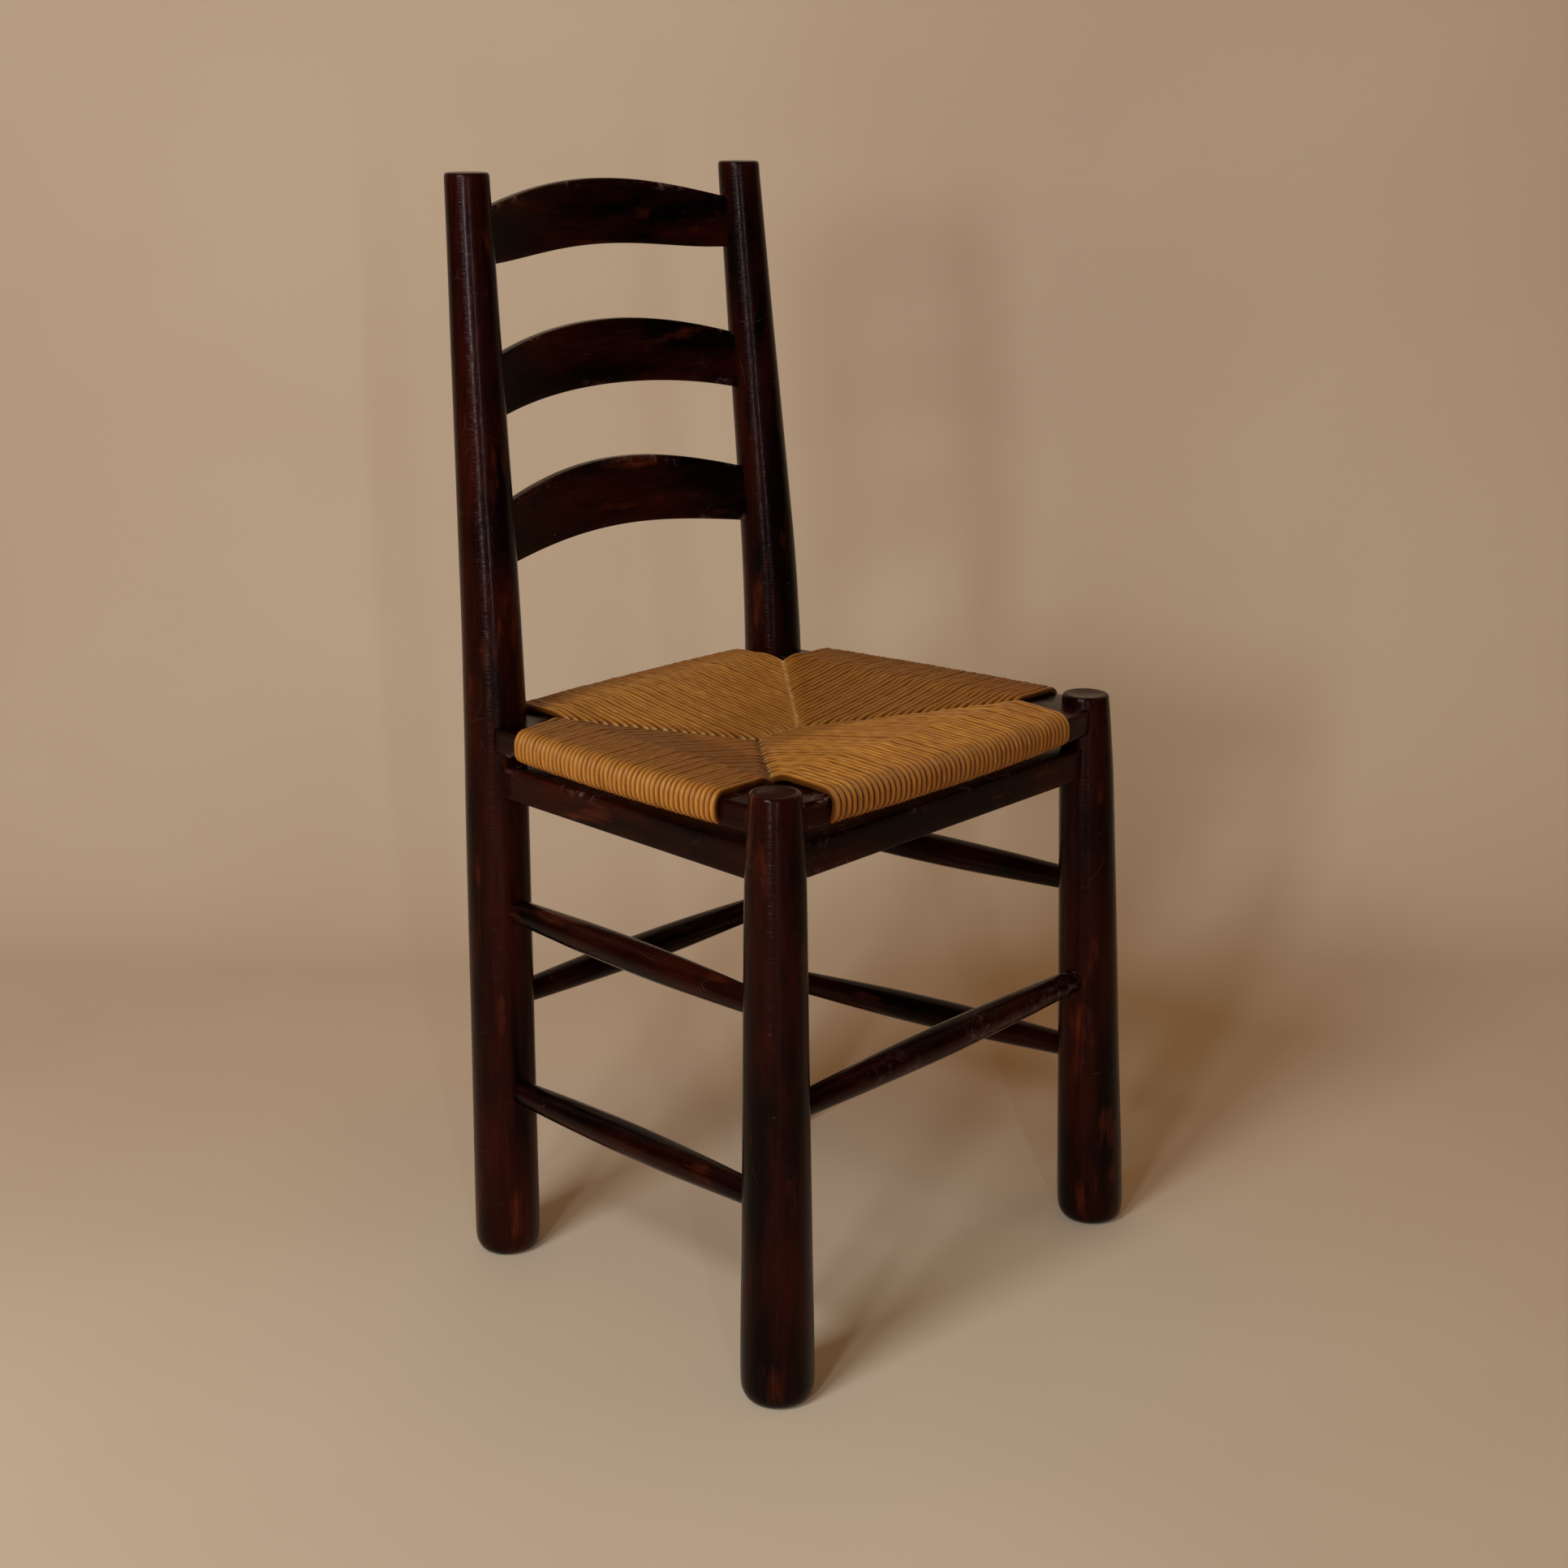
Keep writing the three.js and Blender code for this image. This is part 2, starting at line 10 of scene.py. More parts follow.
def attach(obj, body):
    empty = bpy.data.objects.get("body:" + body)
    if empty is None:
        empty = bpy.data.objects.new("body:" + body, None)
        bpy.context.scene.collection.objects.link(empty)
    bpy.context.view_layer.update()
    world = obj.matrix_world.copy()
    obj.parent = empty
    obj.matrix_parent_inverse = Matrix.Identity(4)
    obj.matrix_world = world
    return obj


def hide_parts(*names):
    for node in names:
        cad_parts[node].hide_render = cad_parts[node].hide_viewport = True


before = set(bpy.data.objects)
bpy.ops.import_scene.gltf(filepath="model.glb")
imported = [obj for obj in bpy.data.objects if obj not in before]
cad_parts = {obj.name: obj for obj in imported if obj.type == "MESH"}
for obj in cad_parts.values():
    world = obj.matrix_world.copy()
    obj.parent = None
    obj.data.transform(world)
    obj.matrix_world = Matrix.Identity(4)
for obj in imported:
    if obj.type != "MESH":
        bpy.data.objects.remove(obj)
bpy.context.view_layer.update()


# ---- camera ----
# The chair is seen from its front left corner, from about a metre up, through a
# 56 mm lens. The camera tips down a little and isn't rolled.
CAMERA_SPOT = (-1.411641, -1.265279, 0.950056)
CAMERA_TURN = 0.842159
CAMERA_TIP = 0.285569
CAMERA_LENS, CAMERA_SENSOR = 56.502, 36

camera = bpy.data.objects.new("camera", bpy.data.cameras.new("camera"))
camera.data.sensor_width = CAMERA_SENSOR
camera.data.lens = CAMERA_LENS
camera.location = CAMERA_SPOT
camera.rotation_euler = (math.pi / 2 - CAMERA_TIP, 0, -CAMERA_TURN)
bpy.context.scene.collection.objects.link(camera)
bpy.context.scene.camera = camera
bpy.context.scene.view_settings.view_transform = "Standard"


# ---- studio paper ----
# A wide roll of warm tan paper lies on the floor and curves up behind the chair.
# It lets light and the view through from its back.
PAPER_TAN = (0.63, 0.455, 0.293, 1)
PAPER_SHADE = (0.58, 0.407, 0.262, 1)
PAPER_HALF_WIDTH = 4.5
PAPER_FRONT = -5.0
PAPER_CURVE_START = 0.62
PAPER_CURVE_RADIUS = 0.55
PAPER_HEIGHT = 3.6
PAPER_DROP = 0.0004
FLOOR_DROP = 0.004
FLOOR_HALF = 7.0


def add_node(tree, kind, inputs=None, **settings):
    """A shader node with its settings, plain values and incoming links."""
    node = tree.nodes.new("ShaderNode" + kind)
    for key, value in settings.items():
        setattr(node, key, value)
    for key, value in (inputs or {}).items():
        if isinstance(value, bpy.types.NodeSocket):
            tree.links.new(value, node.inputs[key])
        else:
            node.inputs[key].default_value = value
    return node


def blend_colours(tree, factor, first, second, way="MIX"):
    """The first colour mixed with the second by the factor."""
    node = add_node(
        tree, "Mix", {0: factor, 6: first, 7: second}, data_type="RGBA", blend_type=way,
    )
    return node.outputs[2]


def remap(tree, value, low, high, to_low=0.0, to_high=1.0):
    """The value stretched from low..high to to_low..to_high, and held inside it."""
    node = add_node(tree, "MapRange", {
        "Value": value, "From Min": low, "From Max": high, "To Min": to_low, "To Max": to_high,
    })
    return node.outputs[0]


def calculate(tree, operation, first, second=0.0):
    return add_node(tree, "Math", {0: first, 1: second}, operation=operation).outputs[0]


def new_material(name):
    material = bpy.data.materials.new(name)
    material.use_nodes = True
    return material, material.node_tree, material.node_tree.nodes["Principled BSDF"]


def link_object(name, mesh, material):
    mesh.materials.append(material)
    made = bpy.data.objects.new(name, mesh)
    bpy.context.scene.collection.objects.link(made)
    return made


def studio_paper():
    """Matt paper, faintly mottled. Its back is clear, so that it hides nothing from behind."""
    material, tree, shader = new_material("studio_paper")
    place = add_node(tree, "TexCoord").outputs["Object"]
    cloud = add_node(tree, "TexNoise", {"Vector": place, "Scale": 1.3, "Detail": 3})
    tooth = add_node(tree, "TexNoise", {"Vector": place, "Scale": 700, "Detail": 3})
    mottle = remap(tree, cloud.outputs[0], 0.35, 0.65)
    tree.links.new(blend_colours(tree, mottle, PAPER_SHADE, PAPER_TAN), shader.inputs["Base Color"])
    shader.inputs["Roughness"].default_value = 0.92
    shader.inputs["Specular IOR Level"].default_value = 0.15
    bump = add_node(tree, "Bump", {
        "Strength": 0.08, "Distance": 0.0004, "Height": tooth.outputs[0],
    })
    tree.links.new(bump.outputs[0], shader.inputs["Normal"])
    ray = add_node(tree, "LightPath")
    back = add_node(tree, "NewGeometry").outputs["Backfacing"]
    seen_behind = calculate(tree, "MULTIPLY", ray.outputs["Is Camera Ray"], back)
    open_to = calculate(tree, "MAXIMUM", seen_behind, ray.outputs["Is Shadow Ray"])
    clear = add_node(tree, "BsdfTransparent")
    pick = add_node(tree, "MixShader", {0: open_to, 1: shader.outputs[0], 2: clear.outputs[0]})
    tree.links.new(pick.outputs[0], tree.nodes["Material Output"].inputs["Surface"])
    return material


sweep = bmesh.new()
corners = [sweep.verts.new((x, PAPER_FRONT, 0)) for x in (PAPER_HALF_WIDTH, -PAPER_HALF_WIDTH)]
leading = [sweep.edges.new(corners)]
for step in ((0, PAPER_CURVE_START - PAPER_FRONT, 0), None, (0, 0, PAPER_HEIGHT)):
    if step is None:
        turned = bmesh.ops.spin(
            sweep, geom=leading + list({v for e in leading for v in e.verts}),
            cent=(0, PAPER_CURVE_START, PAPER_CURVE_RADIUS), axis=(1, 0, 0),
            angle=math.pi / 2, steps=24, use_duplicate=False,
        )
        leading = [g for g in turned["geom_last"] if isinstance(g, bmesh.types.BMEdge)]
    else:
        pulled = bmesh.ops.extrude_edge_only(sweep, edges=leading)["geom"]
        bmesh.ops.translate(
            sweep, verts=[g for g in pulled if isinstance(g, bmesh.types.BMVert)], vec=step,
        )
        far = [g for g in pulled if isinstance(g, bmesh.types.BMEdge)]
        leading = [max(far, key=lambda e: sum((v.co.y + v.co.z for v in e.verts)))]
bmesh.ops.rotate(
    sweep, verts=sweep.verts, cent=(0, 0, 0), matrix=Matrix.Rotation(-CAMERA_TURN, 3, "Z"),
)
bmesh.ops.translate(sweep, verts=sweep.verts, vec=(0, 0, -PAPER_DROP))
bmesh.ops.recalc_face_normals(sweep, faces=sweep.faces)
if sum(f.normal.z for f in sweep.faces) < 0:
    bmesh.ops.reverse_faces(sweep, faces=sweep.faces)
for face in sweep.faces:
    face.smooth = True
sweep_mesh = bpy.data.meshes.new("paper_sweep")
sweep.to_mesh(sweep_mesh)
sweep.free()

ground = bmesh.new()
bmesh.ops.create_grid(ground, x_segments=2, y_segments=2, size=FLOOR_HALF)
bmesh.ops.translate(ground, verts=ground.verts, vec=(0, 0, -FLOOR_DROP))
ground_mesh = bpy.data.meshes.new("floor")
ground.to_mesh(ground_mesh)
ground.free()

paper = studio_paper()
link_object("paper_sweep", sweep_mesh, paper)
link_object("floor", ground_mesh, paper)


# ---- studio light ----
# A softbox on the left throws short shadows to the right, and a lower, smaller one nearer
# the camera throws the back's shadow on the wall. A tall strip adds a thin shine to the
# legs. The fill is the room's warm light.
KEY_TINT = (0.68, 0.83, 1.0)
FILL_TINT = (1.0, 0.63, 0.27, 1)
FILL_STRENGTH = 0.25
AIM = (0, 0, 0.42)


def softbox(name, bearing, rise, distance, size, watts, tint):
    """A rectangular light aimed at the chair; bearing 0 is in front of it, 90 to its right."""
    lamp = bpy.data.lights.new(name, "AREA")
    lamp.shape = "RECTANGLE"
    lamp.size, lamp.size_y = size
    lamp.energy = watts
    lamp.color = tint
    bearing, rise = math.radians(bearing), math.radians(rise)
    away = Vector((
        math.sin(bearing) * math.cos(rise), -math.cos(bearing) * math.cos(rise), math.sin(rise),
    ))
    holder = bpy.data.objects.new(name, lamp)
    holder.location = Vector(AIM) + away * distance
    holder.rotation_euler = away.to_track_quat("Z", "Y").to_euler()
    bpy.context.scene.collection.objects.link(holder)


softbox("key_softbox", -83, 37, 2.9, (0.8, 1.1), 63, KEY_TINT)
softbox("low_softbox", -66, 14, 3.1, (0.24, 0.4), 29, KEY_TINT)
softbox("strip", -40, 10, 3.2, (0.05, 1.2), 12, KEY_TINT)

world = bpy.data.worlds.new("studio")
world.use_nodes = True
room = world.node_tree.nodes["Background"]
room.inputs["Color"].default_value = FILL_TINT
room.inputs["Strength"].default_value = FILL_STRENGTH
world.cycles_visibility.glossy = False
bpy.context.scene.world = world


# ---- front legs ----
# Each front leg is one turned stick of close-grained wood, stained nearly black and
# polished. It is thickest just above the floor, and its top end is eased over and dished.
LEG_HEIGHTS = (
    0, 0.0022, 0.007, 0.014, 0.048, 0.130, 0.280, 0.394, 0.425, 0.4584, 0.4603, 0.461,
)
# beyond the rim: distance out from the middle, height above the rim
LEG_TOP_DISH = (
    (0.0152, 0), (0.012, -0.0004), (0.008, -0.0008), (0.004, -0.001), (0.0006, -0.0011),
)
UPRIGHT_SEGMENTS = 64
RING_STEPS = 4
# how far a turned leg or post is out of true, as a share of its radius, and how many times
# that comes and goes in a metre
UPRIGHT_WOBBLE, WOBBLES_A_METRE = 0.012, 9
STAIN_BLACK = (0.0018, 0.0006, 0.0005, 1)
STAIN_RED = (0.026, 0.0030, 0.0012, 1)
STAIN_GLOW = (0.13, 0.020, 0.006, 1)
STAIN_SHINE = (1, 0.62, 0.52, 1)
BARE_WOOD = (0.30, 0.155, 0.125, 1)
SCRATCH_SHOWS, RUB_SHOWS = 0.16, 0.75
POLISH_SMOOTH, POLISH_DULL, RUB_DULLS = 0.15, 0.29, 0.25
# an edge starts to rub through at the first angle between its faces, and is fully rubbed
# this much further on, in radians
RUB_FROM, RUB_OVER = 0.10, 0.18
GRAIN_ALONG = {
    "upright": (0, 0, 0),
    "across": (0, math.pi / 2, 0),
    "deep": (math.pi / 2, 0, 0),
}
# the lathe leaves fine rings, which show on the legs and posts only
RING_DEPTH = 0.00016


def new_group(name, inputs, outputs):
    """A node group with named sockets, and its input and output nodes."""
    tree = bpy.data.node_groups.new(name, "ShaderNodeTree")
    for label, kind in inputs:
        tree.interface.new_socket(label, in_out="INPUT", socket_type="NodeSocket" + kind)
    for label, kind in outputs:
        tree.interface.new_socket(label, in_out="OUTPUT", socket_type="NodeSocket" + kind)
    return tree, tree.nodes.new("NodeGroupInput"), tree.nodes.new("NodeGroupOutput")


def stretched_noise(tree, place, across, along, detail, rough=0.55):
    """Noise drawn out along Z: so many marks to the metre across and along."""
    squeezed = add_node(tree, "Mapping", {"Vector": place, "Scale": (across, across, along)})
    node = add_node(tree, "TexNoise", {
        "Vector": squeezed.outputs[0], "Scale": 1.0, "Detail": detail, "Roughness": rough,
    })
    return node.outputs[0]


def grain_group():
    """Cloudy stain, grain, open pores and fine rings left by turning, for a stick along Z."""
    tree, given, result = new_group(
        "stained_grain", [("Place", "Vector")],
        [
            ("Cloud", "Float"), ("Glow", "Float"), ("Grain", "Float"), ("Pores", "Float"),
            ("Turning", "Float"),
        ],
    )
    place = given.outputs["Place"]
    cloud = stretched_noise(tree, place, 26, 6, 5)
    glow = stretched_noise(tree, place, 48, 13, 4)
    grain = stretched_noise(tree, place, 420, 14, 4)
    pores = stretched_noise(tree, place, 1100, 70, 2)
    tree.links.new(remap(tree, cloud, 0.42, 0.68), result.inputs["Cloud"])
    tree.links.new(remap(tree, glow, 0.60, 0.80), result.inputs["Glow"])
    tree.links.new(grain, result.inputs["Grain"])
    tree.links.new(remap(tree, pores, 0.60, 0.72), result.inputs["Pores"])
    tree.links.new(stretched_noise(tree, place, 40, 2100, 1), result.inputs["Turning"])
    return tree


def handling_group():
    """Scratches, knocks and rubbed edges of a piece that has been used for years."""
    tree, given, result = new_group(
        "years_of_handling", [("Place", "Vector"), ("Edge", "Float")],
        [("Scratch", "Float"), ("Rubbed", "Float"), ("Smear", "Float"), ("Knock", "Float")],
    )
    place = given.outputs["Place"]
    bent = add_node(tree, "TexNoise", {"Vector": place, "Scale": 7.0, "Detail": 2})
    offset = add_node(
        tree, "VectorMath", {0: bent.outputs["Color"], 1: (0.05, 0.05, 0.05)}, operation="MULTIPLY",
    )
    shifted = add_node(tree, "VectorMath", {0: place, 1: offset.outputs[0]}, operation="ADD")
    lines = add_node(tree, "TexVoronoi", {
        "Vector": shifted.outputs[0], "Scale": 26.0,
    }, feature="DISTANCE_TO_EDGE")
    line = remap(tree, lines.outputs["Distance"], 0.0045, 0.0015)
    patch = remap(tree, stretched_noise(tree, place, 31, 31, 2), 0.60, 0.68)
    spots = add_node(tree, "TexVoronoi", {"Vector": place, "Scale": 75.0})
    spot = remap(tree, spots.outputs["Distance"], 0.10, 0.05)
    rare = remap(tree, spots.outputs["Color"], 0.86, 0.88)
    tick = calculate(tree, "MULTIPLY", spot, rare)
    scratch = calculate(tree, "MAXIMUM", calculate(tree, "MULTIPLY", line, patch), tick)
    tree.links.new(scratch, result.inputs["Scratch"])
    chafe = remap(tree, stretched_noise(tree, place, 160, 120, 5, 0.7), 0.50, 0.66)
    worn_side = remap(tree, stretched_noise(tree, place, 17, 9, 2), 0.52, 0.68)
    edge = calculate(tree, "MULTIPLY", given.outputs["Edge"], chafe)
    tree.links.new(calculate(tree, "MULTIPLY", edge, worn_side), result.inputs["Rubbed"])
    tree.links.new(stretched_noise(tree, place, 38, 11, 5, 0.6), result.inputs["Smear"])
    tree.links.new(stretched_noise(tree, place, 60, 22, 3), result.inputs["Knock"])
    return tree


STAINED_GRAIN = grain_group()
HANDLING = handling_group()


def stained_wood(name, turn):
    """Dark stain under a thin polish. The turn lays the grain along the piece."""
    material, tree, shader = new_material("stained_wood_" + name)
    spot = add_node(tree, "TexCoord").outputs["Object"]
    place = add_node(tree, "Mapping", {"Vector": spot, "Rotation": turn}).outputs[0]
    edge = add_node(tree, "Attribute", attribute_name="rub").outputs["Fac"]
    wood = add_node(tree, "Group", node_tree=STAINED_GRAIN)
    tree.links.new(place, wood.inputs["Place"])
    use = add_node(tree, "Group", node_tree=HANDLING)
    tree.links.new(place, use.inputs["Place"])
    tree.links.new(edge, use.inputs["Edge"])
    stain = blend_colours(tree, wood.outputs["Cloud"], STAIN_BLACK, STAIN_RED)
    lit = calculate(tree, "MULTIPLY", wood.outputs["Glow"], wood.outputs["Grain"])
    warm = blend_colours(tree, lit, stain, STAIN_GLOW)
    streaks = remap(tree, wood.outputs["Grain"], 0.3, 0.7, 0.62, 1.25)
    streak_grey = add_node(tree, "CombineColor", {0: streaks, 1: streaks, 2: streaks}).outputs[0]
    grained = blend_colours(tree, 1.0, warm, streak_grey, "MULTIPLY")
    scratch = calculate(tree, "MULTIPLY", use.outputs["Scratch"], SCRATCH_SHOWS)
    marked = blend_colours(tree, scratch, grained, BARE_WOOD)
    rub = calculate(tree, "MULTIPLY", use.outputs["Rubbed"], RUB_SHOWS)
    rubbed = blend_colours(tree, rub, marked, BARE_WOOD)
    tree.links.new(rubbed, shader.inputs["Base Color"])
    matt = remap(tree, use.outputs["Smear"], 0.3, 0.7, POLISH_SMOOTH, POLISH_DULL)
    dulled = calculate(tree, "MULTIPLY", use.outputs["Rubbed"], RUB_DULLS)
    tree.links.new(calculate(tree, "ADD", matt, dulled), shader.inputs["Roughness"])
    wax = remap(tree, use.outputs["Smear"], 0.75, 0.3, 0.0, 0.03)
    tree.links.new(wax, shader.inputs["Coat Weight"])
    shader.inputs["Coat Roughness"].default_value = 0.11
    shader.inputs["Specular IOR Level"].default_value = 0.11
    shader.inputs["Specular Tint"].default_value = STAIN_SHINE
    fine = calculate(tree, "SUBTRACT", wood.outputs["Grain"], wood.outputs["Pores"])
    first = add_node(tree, "Bump", {"Strength": 0.16, "Distance": 0.0003, "Height": fine})
    if name == "upright":
        rings = add_node(tree, "Bump", {
            "Strength": 1.0, "Distance": RING_DEPTH, "Height": wood.outputs["Turning"],
        })
        tree.links.new(rings.outputs[0], first.inputs["Normal"])
    second = add_node(tree, "Bump", {
        "Strength": 0.30, "Distance": 0.0012, "Height": use.outputs["Knock"],
        "Normal": first.outputs[0],
    })
    third = add_node(tree, "Bump", {
        "Strength": 0.35, "Distance": -0.0003, "Height": use.outputs["Scratch"],
        "Normal": second.outputs[0],
    })
    tree.links.new(third.outputs[0], shader.inputs["Normal"])
    return material


WOOD = {name: stained_wood(name, turn) for name, turn in GRAIN_ALONG.items()}


def ring_at(node, height, side):
    """Middle and radius of a CAD upright at one of its heights, as (x, y, z, radius)."""
    found = [v.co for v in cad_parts[node].data.vertices if abs(v.co.z - height) < 0.0001]
    ys = [p.y for p in found]
    radius = (max(ys) - min(ys)) / 2
    outermost = max(side * p.x for p in found)
    return Vector((side * (outermost - radius), (max(ys) + min(ys)) / 2, height, radius))


def smooth_run(points, steps):
    """A smooth curve through all the points, with so many steps between each two."""
    run = []
    for i in range(len(points) - 1):
        here, there = points[i], points[i + 1]
        before, beyond = points[max(i - 1, 0)], points[min(i + 2, len(points) - 1)]
        span = (there - here).length
        leave = (there - before) * (span / (span + (here - before).length))
        arrive = (beyond - here) * (span / (span + (beyond - there).length))
        for k in range(steps):
            t = k / steps
            run.append(
                here * (2 * t**3 - 3 * t**2 + 1) + leave * (t**3 - 2 * t**2 + t)
                + there * (3 * t**2 - 2 * t**3) + arrive * (t**3 - t**2)
            )
    run.append(points[-1].copy())
    return run


def tube(stations, segments, outline, unwrap=None, wear_and_shade=None):
    """A closed tube. A station is (middle, across, up); outline(k, angle) is (across, up).

    unwrap(k, turn) is the map's point, where a turn runs from 0 to 1 round the tube, and
    the last list holds how far each station is browned, by handling and by painted shade.
    """
    bm = bmesh.new()
    last = len(stations) - 1
    bmesh.ops.create_cone(
        bm, cap_ends=True, cap_tris=False, segments=segments, radius1=1, radius2=1, depth=last,
    )
    lengthwise = [e for e in bm.edges if abs(e.verts[0].co.z - e.verts[1].co.z) > 0.5]
    bmesh.ops.subdivide_edges(bm, edges=lengthwise, cuts=last - 1)
    worn_and_shaded = bm.verts.layers.float.new("wear_and_shade") if wear_and_shade else None
    ring_of = {v: round(v.co.z + last / 2) for v in bm.verts}
    angle_of = {v: math.atan2(-v.co.x, v.co.y) for v in bm.verts}
    if unwrap:
        layer = bm.loops.layers.uv.new("cord")
        for face in bm.faces:
            turns = [angle_of[v] / (2 * math.pi) + 0.5 for v in face.verts]
            crosses = min(turns) < 0.25
            for loop, turn in zip(face.loops, turns):
                turn -= crosses and turn > 0.75
                loop[layer].uv = unwrap(ring_of[loop.vert], turn)
    for vert in bm.verts:
        k, angle = ring_of[vert], angle_of[vert]
        if wear_and_shade:
            vert[worn_and_shaded] = wear_and_shade[k]
        middle, across, up = stations[k]
        sideways, upward = outline(k, angle)
        vert.co = middle + across * sideways + up * upward
    return bm


def wooden(name, bm, material):
    """The finished object of a wooden piece, with its eased edges marked for rubbing."""
    bmesh.ops.recalc_face_normals(bm, faces=bm.faces)
    rub = bm.verts.layers.float.new("rub")
    for edge in bm.edges:
        bend = edge.calc_face_angle_signed(0)
        for vert in edge.verts:
            vert[rub] = max(vert[rub], min(max((bend - RUB_FROM) / RUB_OVER, 0), 1))
    for face in bm.faces:
        face.smooth = True
    mesh = bpy.data.meshes.new(name)
    bm.to_mesh(mesh)
    bm.free()
    mesh.set_sharp_from_angle(angle=math.radians(40))
    return link_object(name, mesh, material)


def upright(name, rings, seed):
    """A round stick on level rings, a hair out of true as hand turning leaves it."""
    stations = [(Vector(r[:3]), Vector((1, 0, 0)), Vector((0, 1, 0))) for r in rings]

    def outline(k, angle):
        out = Vector((math.cos(angle), math.sin(angle), rings[k][2] * WOBBLES_A_METRE + seed))
        true = rings[k][3] * (1 + UPRIGHT_WOBBLE * noise.noise(out))
        return -true * math.sin(angle), true * math.cos(angle)

    return wooden(name, tube(stations, UPRIGHT_SEGMENTS, outline), WOOD["upright"])


def dished(rings, dish):
    """The rings that close the top end in from its rim."""
    rim = rings[-1]
    return rings + [Vector((rim[0], rim[1], rim[2] + rise, radius)) for radius, rise in dish]


LEG_RINGS, POST_RINGS = {}, {}
for label, side in (("left", -1), ("right", 1)):
    node = "front_leg_" + label
    given_rings = [ring_at(node, height, side) for height in LEG_HEIGHTS]
    LEG_RINGS[label] = smooth_run(given_rings, RING_STEPS)
    piece = upright("turned_leg_" + label, dished(LEG_RINGS[label], LEG_TOP_DISH), 3.1 * side)
    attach(piece, "root")
    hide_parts(node)


# ---- back posts ----
# Each back post is one long round stick, steamed so that it leans back above the seat.
# It gets slimmer all the way up, and its top is cut square and just eased.
POST_HEIGHTS = (
    0, 0.0022, 0.007, 0.014, 0.060, 0.210, 0.377, 0.430, 0.465, 0.500, 0.535, 0.570, 0.685,
    0.782, 0.860, 0.8656, 0.8674, 0.868,
)
# the sawn ends stand this little above the CAD posts
POST_TOP_RINGS, POST_TOP_RISE = 3, 0.0022
POST_TOP_DISH = ((0.0134, 0), (0.009, -0.0002), (0.005, -0.0003), (0.0006, -0.0003))

for label, side in (("left", -1), ("right", 1)):
    node = "back_post_" + label
    given_rings = [ring_at(node, height, side) for height in POST_HEIGHTS]
    for ring in given_rings[-POST_TOP_RINGS:]:
        ring[2] += POST_TOP_RISE
    POST_RINGS[label] = smooth_run(given_rings, RING_STEPS)
    piece = upright("long_post_" + label, dished(POST_RINGS[label], POST_TOP_DISH), 8.7 + side)
    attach(piece, "root")
    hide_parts(node)


# ---- slats ----
# The three slats are thin boards bent to the back, arched along both edges. Their ends
# go into slots in the posts, and their edges are eased with a scraper.
# name, lower edge at the posts, its arch, upper edge at the posts, its arch
SLATS = (
    ("top", 0.8016, (0.0216, -0.0143), 0.8376, (0.0270, -0.0041)),
    ("middle", 0.6785, (0.0165, 0.0026), 0.7239, (0.0266, -0.0010)),
    ("bottom", 0.5665, (0.0212, -0.0056), 0.6103, (0.0324, -0.0050)),
)
SLAT_BOW = 0.022
SLAT_FRONT, SLAT_BACK = -0.0035, 0.0055
SLAT_END = 0.0068
SLAT_EASE, SLAT_EASE_STEPS = 0.0018, 4
SLAT_CUTS = (46, 6)


def axis_at(rings, height):
    """The middle of an upright at any height."""
    for low, high in zip(rings, rings[1:]):
        if low[2] <= height <= high[2]:
            share = (height - low[2]) / max(high[2] - low[2], 1e-9)
            return Vector((low + (high - low) * share)[:3])
    return Vector(rings[-1][:3])


def board(cuts_along, cuts_up, place, ease, ease_steps=3):
    """A board bent from a block by place(along, across, up), with its long edges eased."""
    bm = bmesh.new()
    bmesh.ops.create_cube(bm, size=1)
    for axis, cuts in ((0, cuts_along), (2, cuts_up)):
        run = [e for e in bm.edges if abs(e.verts[0].co[axis] - e.verts[1].co[axis]) > 0.5]
        bmesh.ops.subdivide_edges(bm, edges=run, cuts=cuts)
    long_edges = [
        e for e in bm.edges
        if all(abs(abs(v.co.y) - 0.5) < 1e-4 and abs(abs(v.co.z) - 0.5) < 1e-4 for v in e.verts)
        and abs(e.verts[0].co.x - e.verts[1].co.x) > 1e-4
    ]
    for vert in bm.verts:
        vert.co = place(vert.co.x + 0.5, vert.co.y + 0.5, vert.co.z + 0.5)
    bm.normal_update()
    bmesh.ops.bevel(
        bm, geom=long_edges, offset=ease, offset_type="OFFSET", affect="EDGES",
        segments=ease_steps, profile=0.5, material=-1, clamp_overlap=True,
    )
    return bm


def bent_slat(low, low_arch, high, high_arch):
    """A slat that runs from inside one post's slot to inside the other's."""
    half = abs(axis_at(POST_RINGS["right"], low).x)
    reach = 1 - SLAT_END / half

    def place(along, across, up):
        u = reach * (2 * along - 1)
        edges = [
            level + arch[0] * (1 - u**2) + arch[1] * (1 - u**4)
            for level, arch in ((low, low_arch), (high, high_arch))
        ]
        feet = [axis_at(POST_RINGS["right"], level) for level in (low, high)]
        foot = feet[0].lerp(feet[1], up)
        out = SLAT_FRONT + (SLAT_BACK - SLAT_FRONT) * across
        height = edges[0] + (edges[1] - edges[0]) * up
        return Vector((u * foot.x, foot.y + SLAT_BOW * (1 - u * u) + out, height))

    return board(*SLAT_CUTS, place, SLAT_EASE, SLAT_EASE_STEPS)


for label, low, low_arch, high, high_arch in SLATS:
    piece = wooden("bent_slat_" + label, bent_slat(low, low_arch, high, high_arch), WOOD["across"])
    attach(piece, "root")
    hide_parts("slat_" + label)


